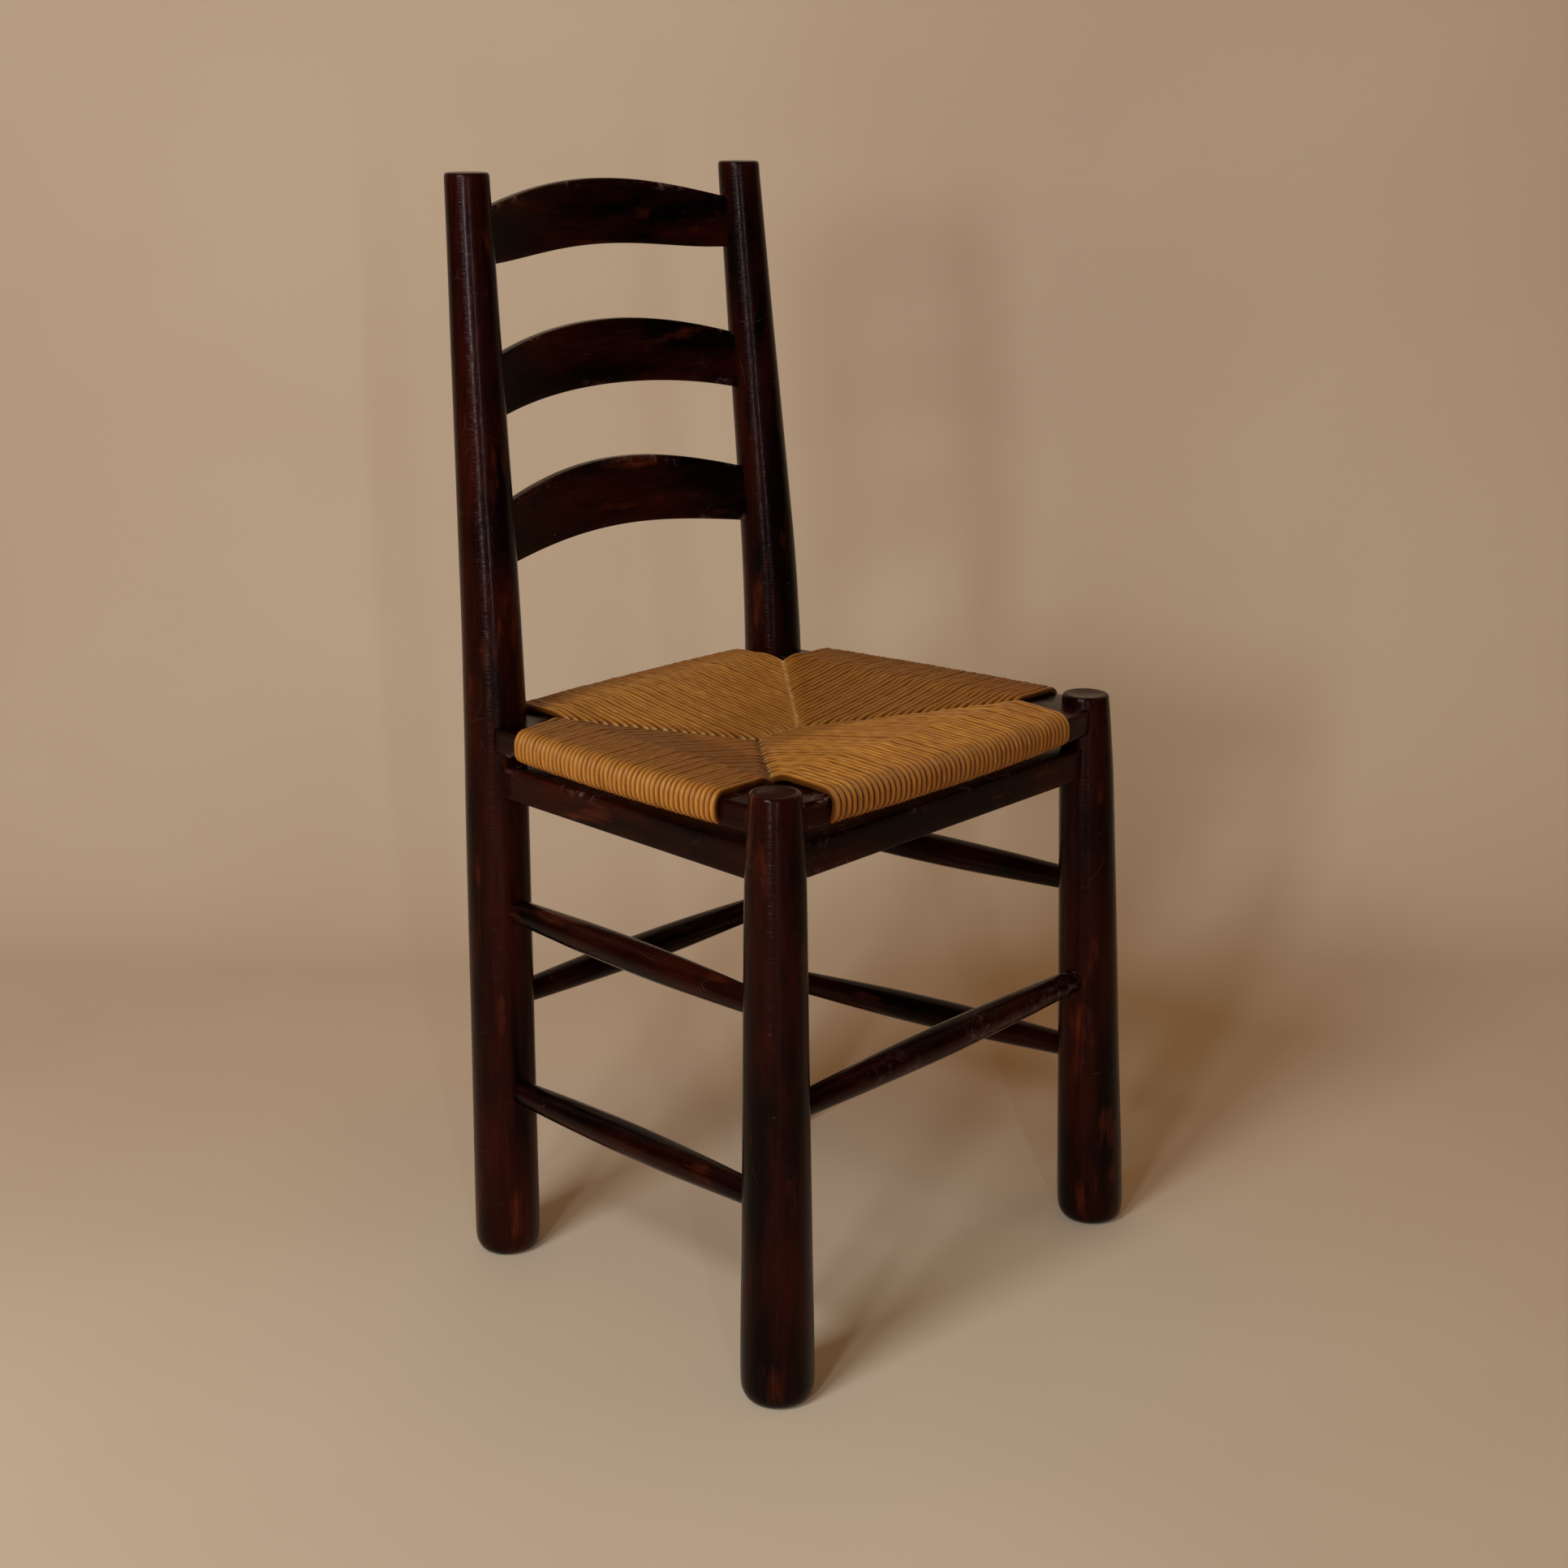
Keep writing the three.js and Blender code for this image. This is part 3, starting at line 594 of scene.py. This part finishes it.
# ---- stretchers ----
# Six turned rungs tie the legs together below the seat: one in front, one behind and two
# on each side. They swell to the middle, and their ends are glued into drilled holes.
RUNG_MIDDLE = 0.0129
RUNG_END = 0.0093
RUNG_SWELL = 1.25
RUNG_IN_LEG = 0.0064
RUNG_SEGMENTS = 40
RUNG_STATIONS = 40
RUNG_WOBBLE, RUNG_WOBBLE_STEP = 0.02, 0.12
FRONT_RUNG, BACK_RUNG = 0.2196, 0.2176
SIDE_RUNGS = {"upper": (0.300, 0.299), "lower": (0.1515, 0.143)}

RUNGS = [
    ("front", axis_at(LEG_RINGS["left"], FRONT_RUNG), axis_at(LEG_RINGS["right"], FRONT_RUNG)),
    ("back", axis_at(POST_RINGS["left"], BACK_RUNG), axis_at(POST_RINGS["right"], BACK_RUNG)),
]
for label in ("left", "right"):
    for level, (front, back) in SIDE_RUNGS.items():
        ends = axis_at(LEG_RINGS[label], front), axis_at(POST_RINGS[label], back)
        RUNGS.append((f"{label}_{level}", *ends))


def rung(start, end, seed):
    """A turned rung between two legs' middles, glued a little way into each."""
    run = end - start
    travel = run.normalized()
    across = travel.cross(Vector((0, 0, 1))).normalized()
    up = across.cross(travel)
    stations, radii = [], []
    for i in range(RUNG_STATIONS + 1):
        t = i / RUNG_STATIONS
        along = RUNG_IN_LEG + (run.length - 2 * RUNG_IN_LEG) * t
        stations.append((start + travel * along, across, up))
        swell = math.sin(math.pi * t) ** RUNG_SWELL if 0 < t < 1 else 0
        radii.append(RUNG_END + (RUNG_MIDDLE - RUNG_END) * swell)

    def outline(k, angle):
        out = Vector((math.cos(angle), math.sin(angle), k * RUNG_WOBBLE_STEP + seed))
        true = radii[k] * (1 + RUNG_WOBBLE * noise.noise(out))
        return -true * math.sin(angle), true * math.cos(angle)

    return tube(stations, RUNG_SEGMENTS, outline)


for number, (label, start, end) in enumerate(RUNGS):
    grain = "across" if label in ("front", "back") else "deep"
    piece = wooden("turned_rung_" + label, rung(start, end, number * 5.3), WOOD[grain])
    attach(piece, "root")
    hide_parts("stretcher_" + label)


# ---- aprons ----
# Four flat boards close the frame just under the rush. Each is tenoned into the legs,
# and only its sharp corners are taken off.
APRON_LOW, APRON_HIGH = 0.394, 0.4195
APRON_OUT, APRON_IN = 0.009, 0.015
APRON_IN_LEG = 0.0064
APRON_EASE = 0.0014
APRON_CUTS = (12, 3)

SIDES = {
    "front": ((LEG_RINGS, "left"), (LEG_RINGS, "right")),
    "right": ((LEG_RINGS, "right"), (POST_RINGS, "right")),
    "back": ((POST_RINGS, "right"), (POST_RINGS, "left")),
    "left": ((POST_RINGS, "left"), (LEG_RINGS, "left")),
}


def side_line(side, height):
    """Start, direction, outward direction and length of the line between two uprights."""
    start, end = (axis_at(rings[label], height) for rings, label in SIDES[side])
    run = end - start
    along = run.normalized()
    return start, along, Vector((along.y, -along.x, 0)), run.length


def apron(side):
    """One flat board, let into the two uprights of its side."""
    start, along, out, length = side_line(side, (APRON_LOW + APRON_HIGH) / 2)

    def place(share, across, up):
        spot = start + along * (APRON_IN_LEG + (length - 2 * APRON_IN_LEG) * share)
        spot += out * (APRON_OUT * (1 - across) - APRON_IN * across)
        spot.z = APRON_LOW + (APRON_HIGH - APRON_LOW) * up
        return spot

    return board(*APRON_CUTS, place, APRON_EASE)


for side in SIDES:
    grain = "across" if side in ("front", "back") else "deep"
    piece = wooden("apron_board_" + side, apron(side), WOOD[grain])
    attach(piece, "root")
    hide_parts("apron_" + side)


# ---- seat rails ----
# Four wide boards carry the rush. Their outer edges are bowed and rounded, and their
# undersides cut back, to take the cords. Only their bare ends show, mitred at the corners.
RAIL_LOW, RAIL_HIGH = 0.4325, 0.452
RAIL_END_LOW, RAIL_CUT_LOW = 0.4312, 0.4362
RAIL_CUT_FROM = 0.13
RAIL_INNER = 0.030
RAIL_OUTER = {"front": 0.012, "back": 0.010, "left": 0.014, "right": 0.014}
RAIL_BOW = {"front": 0.011, "back": 0.006, "left": 0.008, "right": 0.006}
RAIL_EASE = 0.0022
RAIL_CUTS = (24, 3)
MITRE_GAP = 0.00015
RAIL_MIDDLE = (RAIL_LOW + RAIL_HIGH) / 2
CORNER_ORDER = ("front", "right", "back", "left")


def rail_outer(side, share):
    """How far a rail's outer edge stands out from the uprights' line, at a share of it."""
    return RAIL_OUTER[side] + RAIL_BOW[side] * 4 * share * (1 - share)


def rail(side):
    """One rail, cut back underneath where the cords pass, and mitred at both ends."""
    start, along, out, length = side_line(side, RAIL_MIDDLE)

    def place(share, across, up):
        spot = start + along * (length * share)
        spot += out * (rail_outer(side, share) * (1 - across) - RAIL_INNER * across)
        bare = min(share, 1 - share) < RAIL_CUT_FROM
        low = RAIL_END_LOW if bare else RAIL_CUT_LOW
        spot.z = low + (RAIL_HIGH - low) * up
        return spot

    bm = board(*RAIL_CUTS, place, RAIL_EASE)
    for corner, step, facing in ((start, 3, -1), (start + along * length, 1, 1)):
        neighbour = CORNER_ORDER[(CORNER_ORDER.index(side) + step) % 4]
        inward = -(out + side_line(neighbour, RAIL_MIDDLE)[2]).normalized()
        away = along * facing
        cut = (away - inward * away.dot(inward)).normalized()
        bmesh.ops.bisect_plane(
            bm, geom=bm.verts[:] + bm.edges[:] + bm.faces[:],
            plane_co=corner - cut * MITRE_GAP, plane_no=cut, clear_outer=True,
        )
        bmesh.ops.holes_fill(bm, edges=[e for e in bm.edges if e.is_boundary])
    return bm


for side in SIDES:
    grain = "across" if side in ("front", "back") else "deep"
    piece = wooden("rail_board_" + side, rail(side), WOOD[grain])
    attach(piece, "root")
    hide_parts("seat_rail_" + side)


# ---- stuffing ----
# As the seat is woven, straw and broken rush are pushed with a stick into the pocket
# behind each rail, between the upper and lower cords, until the panel is firm.
STRAW_PALE = (0.42, 0.30, 0.12, 1)
# painted shade for the creases between stalks
STRAW_CREASE_SHADE = (0.16, 0.10, 0.04, 1)
# how far the cords sink from the rails to the middle of the seat
SAG_TOP, SAG_UNDER = 0.023, 0.005
SAG_POWER = 0.85
SAG_REACH = 0.133
PAD_CLEAR = 0.0004
PAD_LUMP, LUMPS_A_METRE = 0.0006, 90
PAD_ROUNDS, PAD_FILL = 4, 0.8
RAIL_LINES = {side: side_line(side, RAIL_MIDDLE) for side in SIDES}


def seat_depth(spot):
    """0 at the inner edge of the rails, 1 in the middle of the seat."""
    least = min(
        -(spot - start).dot(out) - RAIL_INNER for start, _, out, _ in RAIL_LINES.values()
    )
    return min(max(least / SAG_REACH, 0), 1)


def straw_material():
    """Broken stalks pressed together, pale where they lie on top, with painted shade in the creases
    between them and tones that vary at random.
    """
    material, tree, shader = new_material("loose_straw")
    place = add_node(tree, "TexCoord").outputs["Object"]
    wisps = add_node(tree, "TexNoise", {
        "Vector": place, "Scale": 260.0, "Detail": 6, "Roughness": 0.7, "Distortion": 1.6,
    })
    stalks = add_node(tree, "TexVoronoi", {
        "Vector": place, "Scale": 320.0,
    }, feature="DISTANCE_TO_EDGE")
    # painted shade in the creases between stalks, mixed with random wisps of tone
    stalk = remap(tree, stalks.outputs["Distance"], 0.0, 0.18)
    shade = calculate(tree, "MULTIPLY", remap(tree, wisps.outputs[0], 0.35, 0.65), stalk)
    tree.links.new(blend_colours(tree, shade, STRAW_CREASE_SHADE, STRAW_PALE), shader.inputs["Base Color"])
    tree.links.new(remap(tree, shade, 0, 1, 0.95, 0.75), shader.inputs["Roughness"])
    bump = add_node(tree, "Bump", {"Strength": 0.8, "Distance": 0.0012, "Height": shade})
    tree.links.new(bump.outputs[0], shader.inputs["Normal"])
    return material


LOOSE_STRAW = straw_material()

for number, side in enumerate(SIDES):
    node = "stuffing_" + side
    pad = bmesh.new()
    pad.from_mesh(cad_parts[node].data)
    bmesh.ops.remove_doubles(pad, verts=pad.verts, dist=0.00005)
    for _ in range(PAD_ROUNDS):
        bmesh.ops.subdivide_edges(pad, edges=pad.edges, cuts=1, use_grid_fill=True)
        for _ in range(2):
            bmesh.ops.smooth_vert(
                pad, verts=pad.verts, factor=0.5, use_axis_x=True, use_axis_y=True, use_axis_z=True,
            )
    pad.normal_update()
    for vert in pad.verts:
        lump = noise.noise(vert.co * LUMPS_A_METRE + Vector((number * 7, 0, 0)))
        vert.co += vert.normal * PAD_LUMP * lump
        sag = seat_depth(vert.co) ** SAG_POWER
        vert.co.z = min(vert.co.z, RAIL_HIGH - SAG_TOP * sag - PAD_CLEAR)
        vert.co.z = max(vert.co.z, RAIL_CUT_LOW - SAG_UNDER * sag + PAD_CLEAR)
    for face in pad.faces:
        face.smooth = True
    mesh = bpy.data.meshes.new("straw_pad_" + side)
    pad.to_mesh(mesh)
    pad.free()
    piece = link_object("straw_pad_" + side, mesh, LOOSE_STRAW)
    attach(piece, "root")
    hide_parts(node)


# ---- rush seat ----
# Rush leaves are twisted damp into cord and wound over the rails, so that each panel's
# cords run in from one rail, dive at the mitred seam and come back underneath.
CORD_RADIUS = 0.00285
CORD_BEND = 0.0055
CORD_SEGMENTS = 10
CORD_STEP_SEEN, CORD_STEP_UNDER = 0.0026, 0.0055
UNDER_BELOW = 0.002
KNOT_PARTS = 6
PANEL_CORDS = {"front": 50, "right": 45, "back": 49, "left": 45}
SEAM_CORNERS = {
    ("front", "left"): (-0.144, 0.039), ("front", "right"): (0.144, 0.039),
    ("back", "right"): (0.130, 0.277), ("back", "left"): (-0.130, 0.277),
}
# where each panel's first and last cords cross its rail
RAIL_SPAN = {
    "front": (-0.1475, 0.135), "right": (0.0385, 0.270),
    "back": (-0.128, 0.128), "left": (0.0385, 0.265),
}
FAN_POWER = 1.5
TIP_LENGTH, TIP_TAPER = 0.018, 0.16
# a cord's upper end turns down into the seam: how far past its reach, how far below its top
SEAM_DIVE = ((0.0012, 0.0095), (0.0009, 0.0052), (-0.0012, 0.0018), (-0.0048, 0.0004))
# and its lower end turns up: how far past its reach, how far above its underside
SEAM_RISE = ((-0.002, 0.0012), (0.0005, 0.006))
SEAM_RUN_IN, SEAM_RUN_UNDER = 0.012, 0.008
KNOT_STEP = 0.012
# a panel is puffed fully only where its cords are long enough
PUFF_FROM, PUFF_OVER, PUFF_SHAPE = 0.05, 0.08, 0.8
# no two cords are quite alike: reach, height, thickness, and wander to either side
REACH_VARIES, HEIGHT_VARIES = 0.0008, 0.0003
THINNEST, THICKEST = 0.98, 1.07
WANDER, WANDERS_A_METRE = 0.00035, 30
TWIST_DEPTH, TWIST_TURNS = 0.05, 290
UNEVEN, UNEVEN_A_METRE = 0.08, 60
SEAM_MIDDLE = 0.163
SEAM_BRIDGE = 0.022
# how far each panel stands up between its rail and its seam, how high it ends over the
# seam, and how far it laps the seam
PANEL_PUFF = {"front": 0.0030, "right": 0.0, "back": 0.0008, "left": 0.0004}
PANEL_LIFT = {"front": 0.0022, "right": 0.0002, "back": 0.0012, "left": -0.0006}
PANEL_LAP = {"front": 0.0024, "right": -0.0006, "back": 0.0016, "left": -0.0012}
# 1 is a round cord, less is pressed flat by sitting
PANEL_ROUND = {"front": 0.68, "right": 0.88, "back": 0.88, "left": 0.62}
# how far each panel is browned, by handling and by painted shade where the panel or its bend is
# turned from the light: on the bend, along its edge, further in
PANEL_WORN_AND_SHADED = {
    "front": (0.62, 0.04, 0.0), "right": (0.7, 0.95, 0.72), "back": (0.6, 0.65, 0.34),
    "left": (0.34, 0.72, 0.80),
}
BROWN_EDGE_BAND, BROWN_INNER_BAND = 0.007, 0.035
# a cord counts as lying flat on top while it climbs less steeply than this, squared
NEARLY_LEVEL = 0.2
RUSH_GOLD = (0.54, 0.182, 0.013, 1)
RUSH_BROWN = (0.27, 0.070, 0.005, 1)
# pale rush for the lighter fibre streaks, and the painted highlight along each cord's crest and at
# its seam tip
RUSH_PALE_AND_HIGHLIGHT = (0.84, 0.45, 0.13, 1)
# brown of rush darkened by handling, also used as painted shade on the panels turned from the light
RUSH_WORN_AND_SHADED = (0.185, 0.055, 0.006, 1)
# painted shade down the sides of each cord, where it meets its neighbours
RUSH_GAP_SHADE = (0.050, 0.011, 0.001, 1)
RUSH_SHINE = (1, 0.78, 0.52, 1)


def rush_fibre_group():
    """Leaf fibres wound round a cord, with masks for painted shade down its sides and painted
    highlights along its crest and at its seam tip. Across is turns round it, Along is metres.
    """
    tree, given, result = new_group(
        "rush_fibres", [("Cord", "Vector")],
        [
            ("Fibre", "Float"), ("Leaf", "Float"), ("Each", "Float"), ("Gap_shade", "Float"),
            ("Crest_highlight", "Float"), ("Tip_highlight", "Float"),
        ],
    )
    parts = add_node(tree, "SeparateXYZ", {0: given.outputs["Cord"]})
    across, along = parts.outputs[0], parts.outputs[1]
    number = calculate(tree, "FLOOR", across)
    turn = calculate(tree, "SUBTRACT", across, number)
    wound = calculate(tree, "ADD", turn, calculate(tree, "MULTIPLY", along, 22.0))
    spun = add_node(tree, "CombineXYZ", {
        0: calculate(tree, "MULTIPLY", wound, 22.0),
        1: calculate(tree, "MULTIPLY", along, 60.0),
        2: calculate(tree, "MULTIPLY", number, 3.7),
    })
    fibre = add_node(tree, "TexNoise", {
        "Vector": spun.outputs[0], "Scale": 1.0, "Detail": 4, "Roughness": 0.6,
    })
    leafy = add_node(tree, "CombineXYZ", {
        0: calculate(tree, "MULTIPLY", wound, 4.0),
        1: calculate(tree, "MULTIPLY", along, 26.0),
        2: calculate(tree, "MULTIPLY", number, 9.1),
    })
    leaf = add_node(tree, "TexNoise", {"Vector": leafy.outputs[0], "Scale": 1.0, "Detail": 2})
    each = add_node(tree, "TexWhiteNoise", {"W": number}, noise_dimensions="1D")
    from_top = calculate(tree, "ABSOLUTE", calculate(tree, "SUBTRACT", turn, 0.5))
    tree.links.new(fibre.outputs[0], result.inputs["Fibre"])
    tree.links.new(leaf.outputs[0], result.inputs["Leaf"])
    tree.links.new(each.outputs["Value"], result.inputs["Each"])
    # painted shade down each cord's sides, where it meets its neighbours
    tree.links.new(remap(tree, from_top, 0.075, 0.185), result.inputs["Gap_shade"])
    # a painted highlight along the top of each cord
    tree.links.new(remap(tree, from_top, 0.07, 0.01), result.inputs["Crest_highlight"])
    # a painted highlight where each cord turns down into the seam
    tree.links.new(remap(tree, along, 0.012, 0.0075), result.inputs["Tip_highlight"])
    return tree


RUSH_FIBRES = rush_fibre_group()
OUTWARD = {
    "front": Vector((0, -1, 0)), "right": Vector((1, 0, 0)),
    "back": Vector((0, 1, 0)), "left": Vector((-1, 0, 0)),
}


def rush_material():
    """Dried rush under an old varnish: golden where it is lit, brown from handling and, as painted
    shade, on panels turned from the light. Each cord has a painted highlight along its crest and at
    its seam tip, and painted shade down its sides.
    """
    material, tree, shader = new_material("twisted_rush")
    cord_map = add_node(tree, "UVMap", uv_map="cord").outputs[0]
    fibres = add_node(tree, "Group", node_tree=RUSH_FIBRES)
    tree.links.new(cord_map, fibres.inputs["Cord"])
    place = add_node(tree, "TexCoord").outputs["Object"]
    soil = add_node(tree, "TexNoise", {
        "Vector": place, "Scale": 17.0, "Detail": 4, "Roughness": 0.6,
    })
    lot = calculate(tree, "MULTIPLY", fibres.outputs["Each"], 0.35)
    tone = calculate(tree, "ADD", lot, fibres.outputs["Leaf"])
    body = blend_colours(tree, remap(tree, tone, 0.35, 1.0), RUSH_BROWN, RUSH_GOLD)
    # browning by handling, and painted shade on the panels and bends turned from the light
    worn_and_shaded = add_node(tree, "Attribute", attribute_name="wear_and_shade").outputs["Fac"]
    handled_and_shaded = blend_colours(tree, worn_and_shaded, body, RUSH_WORN_AND_SHADED)
    unworn_unshaded = calculate(tree, "SUBTRACT", 1.0, worn_and_shaded)
    # a painted highlight along each cord's crest, left off where the cord is browned
    crest = calculate(tree, "MULTIPLY", fibres.outputs["Crest_highlight"], unworn_unshaded)
    crest_highlighted = blend_colours(tree, calculate(tree, "MULTIPLY", crest, 0.38), handled_and_shaded, RUSH_PALE_AND_HIGHLIGHT)
    # a painted highlight on each cord's upper end at the seam
    tip = calculate(tree, "MULTIPLY", fibres.outputs["Tip_highlight"], 0.55)
    tip_highlighted = blend_colours(tree, tip, crest_highlighted, RUSH_PALE_AND_HIGHLIGHT)
    streak = remap(tree, fibres.outputs["Fibre"], 0.56, 0.74, 0.0, 0.5)
    lighter = calculate(tree, "MULTIPLY", streak, remap(tree, worn_and_shaded, 0, 1, 1.0, 0.35))
    streaked = blend_colours(tree, lighter, tip_highlighted, RUSH_PALE_AND_HIGHLIGHT)
    dull = remap(tree, soil.outputs[0], 0.42, 0.68, 0.0, 0.4)
    soiled = blend_colours(tree, dull, streaked, RUSH_BROWN)
    # painted shade darkens the cords' sides between neighbouring cords
    gap_shade = calculate(tree, "MULTIPLY", fibres.outputs["Gap_shade"], 0.92)
    tree.links.new(blend_colours(tree, gap_shade, soiled, RUSH_GAP_SHADE), shader.inputs["Base Color"])
    varnish = remap(tree, fibres.outputs["Fibre"], 0.3, 0.7, 0.34, 0.52)
    tree.links.new(varnish, shader.inputs["Roughness"])
    shader.inputs["Specular IOR Level"].default_value = 0.28
    shader.inputs["Specular Tint"].default_value = RUSH_SHINE
    bump = add_node(tree, "Bump", {
        "Strength": 0.5, "Distance": 0.0005, "Height": fibres.outputs["Fibre"],
    })
    tree.links.new(bump.outputs[0], shader.inputs["Normal"])
    return material


TWISTED_RUSH = rush_material()
# the frame's origin lies in the middle of the footprint; seam sizes count from the front
# legs' top ends
FRONT_LINE = LEG_RINGS["left"][-1].y


def seam_at(side, where):
    """How far in a panel's cord reaches, as a y or x, at its place along the rail."""
    axis = 0 if side in ("front", "back") else 1
    ends = [Vector(spot) for pair, spot in SEAM_CORNERS.items() if side in pair]
    ends.sort(key=lambda end: end[axis])
    if axis == 0:
        knees = [Vector((-SEAM_BRIDGE, SEAM_MIDDLE)), Vector((SEAM_BRIDGE, SEAM_MIDDLE))]
    else:
        knees = [Vector((SEAM_BRIDGE if side == "right" else -SEAM_BRIDGE, SEAM_MIDDLE))]
    knees = [ends[0], *knees, ends[1]]
    for near, far in zip(knees, knees[1:]):
        if near[axis] <= where <= far[axis]:
            share = (where - near[axis]) / (far[axis] - near[axis])
            return near[1 - axis] + (far[1 - axis] - near[1 - axis]) * share


def cord_route(side, rail_place, seam_place, jitter):
    """Middle line of one cord from its upper seam end, over the rail, to its lower one."""
    start, along, out, length = RAIL_LINES[side]
    axis = 0 if side in ("front", "back") else 1
    here = rail_place + (FRONT_LINE if axis == 1 else 0)
    share = (here - start[axis]) / (along[axis] * length)
    edge = start + along * (length * share) + out * rail_outer(side, share)
    inward = -OUTWARD[side]
    seam = seam_at(side, seam_place) + (FRONT_LINE if axis == 0 else 0)
    reach = abs(seam - edge[1 - axis]) + PANEL_LAP[side] + jitter * REACH_VARIES
    fan = Vector((0, 0, 0))
    fan[axis] = seam_place - rail_place
    full = min(max((reach - PUFF_FROM) / PUFF_OVER, 0), 1)
    radius, ease = CORD_RADIUS, CORD_BEND

    def spot(depth, height):
        swung = fan * min(max(depth / reach, 0), 1) ** FAN_POWER
        return edge + inward * depth + swung + Vector((0, 0, height - edge.z))

    def top(depth):
        inside = min(depth / reach, 1)
        rise = PANEL_PUFF[side] * full * math.sin(math.pi * inside) ** PUFF_SHAPE
        rise += PANEL_LIFT[side] * inside
        sunk = SAG_TOP * seat_depth(spot(depth, 0)) ** SAG_POWER
        return RAIL_HIGH + radius - sunk + rise + jitter * HEIGHT_VARIES

    def under(depth):
        return RAIL_CUT_LOW - radius - SAG_UNDER * seat_depth(spot(depth, 0)) ** SAG_POWER

    knots = [spot(reach + past, top(reach) - below) for past, below in SEAM_DIVE]
    inmost = reach - SEAM_RUN_IN
    steps = max(2, round(inmost / KNOT_STEP))
    for k in range(steps + 1):
        depth = inmost + (ease - inmost) * k / steps
        knots.append(spot(depth, top(depth)))
    for centre, first in ((RAIL_HIGH - ease, 90), (RAIL_CUT_LOW + ease, 180)):
        for turn in (22.5, 45, 67.5, 90):
            bend = math.radians(first + turn)
            size = ease + radius
            knots.append(spot(ease + size * math.cos(bend), centre + size * math.sin(bend)))
    for k in range(1, steps + 1):
        depth = ease + (reach - SEAM_RUN_UNDER - ease) * k / steps
        knots.append(spot(depth, under(depth)))
    knots += [spot(reach + past, under(reach) + above) for past, above in SEAM_RISE]
    return smooth_run(knots, KNOT_PARTS)


def even_walk(route):
    """The route stepped evenly, in longer steps once it is under the seat."""
    walked, since = [route[0]], 0.0
    for before, here in zip(route, route[1:]):
        since += (here - before).length
        is_under = here.z < RAIL_CUT_LOW - UNDER_BELOW
        step = CORD_STEP_UNDER if is_under else CORD_STEP_SEEN
        if since >= step:
            walked.append(here)
            since = 0.0
    if since > 0:
        walked[-1] = route[-1]
    return walked


def rush_cord(side, rail_place, seam_place, number, rng):
    """One twisted cord with its own map: turns round it, and metres along it."""
    route = even_walk(cord_route(side, rail_place, seam_place, rng.uniform(-1, 1)))
    rim = max(OUTWARD[side].dot(spot) for spot in route)
    # each panel's browning, by handling and by painted shade
    on_bend, at_edge, further_in = PANEL_WORN_AND_SHADED[side]
    across = Vector((0, 0, 1)).cross(OUTWARD[side])
    size = CORD_RADIUS * rng.uniform(THINNEST, THICKEST)
    drift = rng.uniform(0, 100)
    stations, squares, lengths, wear_and_shade = [], [], [0.0], []
    for k, spot in enumerate(route):
        before, after = route[max(k - 1, 0)], route[min(k + 1, len(route) - 1)]
        travel = (after - before).normalized()
        if k:
            lengths.append(lengths[-1] + (spot - before).length)
        wander = WANDER * noise.noise(Vector((lengths[k] * WANDERS_A_METRE, drift, 0)))
        stations.append((spot + across * wander, across, travel.cross(across).normalized()))
        on_top = travel.z**2 < NEARLY_LEVEL and spot.z > RAIL_MIDDLE
        squares.append(PANEL_ROUND[side] if on_top and lengths[k] > TIP_LENGTH else 1.0)
        inside = rim - OUTWARD[side].dot(spot)
        if inside < BROWN_EDGE_BAND or not on_top:
            wear_and_shade.append(on_bend)
        else:
            share = min((inside - BROWN_EDGE_BAND) / (BROWN_INNER_BAND - BROWN_EDGE_BAND), 1)
            wear_and_shade.append(at_edge + (further_in - at_edge) * share)
    last = len(route) - 1
    for _ in range(3):
        squares, wear_and_shade = (
            [(run[max(k - 1, 0)] + run[k] + run[min(k + 1, last)]) / 3 for k in range(last + 1)]
            for run in (squares, wear_and_shade)
        )

    def outline(k, angle):
        lobe = 1 + TWIST_DEPTH * math.cos(2 * angle + lengths[k] * TWIST_TURNS + drift)
        lobe += UNEVEN * noise.noise(Vector((lengths[k] * UNEVEN_A_METRE, drift, 3)))
        lobe *= 1 - TIP_TAPER * max(0, 1 - lengths[k] / TIP_LENGTH)
        sine, cosine = math.sin(angle), math.cos(angle)
        return (
            -math.copysign(abs(sine) ** squares[k], sine) * size * lobe,
            math.copysign(abs(cosine) ** squares[k], cosine) * size * lobe,
        )

    return tube(
        stations, CORD_SEGMENTS, outline, lambda k, turn: (number + turn, lengths[k]), wear_and_shade,
    )


def rush_panel(side, seed):
    """All of one panel's cords, side by side from corner to corner, in one mesh."""
    rng = random.Random(seed)
    axis = 0 if side in ("front", "back") else 1
    low, high = sorted(spot[axis] for pair, spot in SEAM_CORNERS.items() if side in pair)
    rail_low, rail_high = RAIL_SPAN[side]
    count = PANEL_CORDS[side]
    panel, single = bmesh.new(), bpy.data.meshes.new("single_cord")
    for number in range(count):
        share = (number + 0.5) / count
        rail_place = rail_low + (rail_high - rail_low) * share
        cord = rush_cord(side, rail_place, low + (high - low) * share, number, rng)
        bmesh.ops.recalc_face_normals(cord, faces=cord.faces)
        cord.to_mesh(single)
        cord.free()
        panel.from_mesh(single)
    bpy.data.meshes.remove(single)
    for face in panel.faces:
        face.smooth = True
    mesh = bpy.data.meshes.new("rush_panel_" + side)
    panel.to_mesh(mesh)
    panel.free()
    return link_object("rush_panel_" + side, mesh, TWISTED_RUSH)


for number, side in enumerate(SIDES):
    piece = rush_panel(side, 40 + number)
    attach(piece, "root")
    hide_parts("rush_seat")
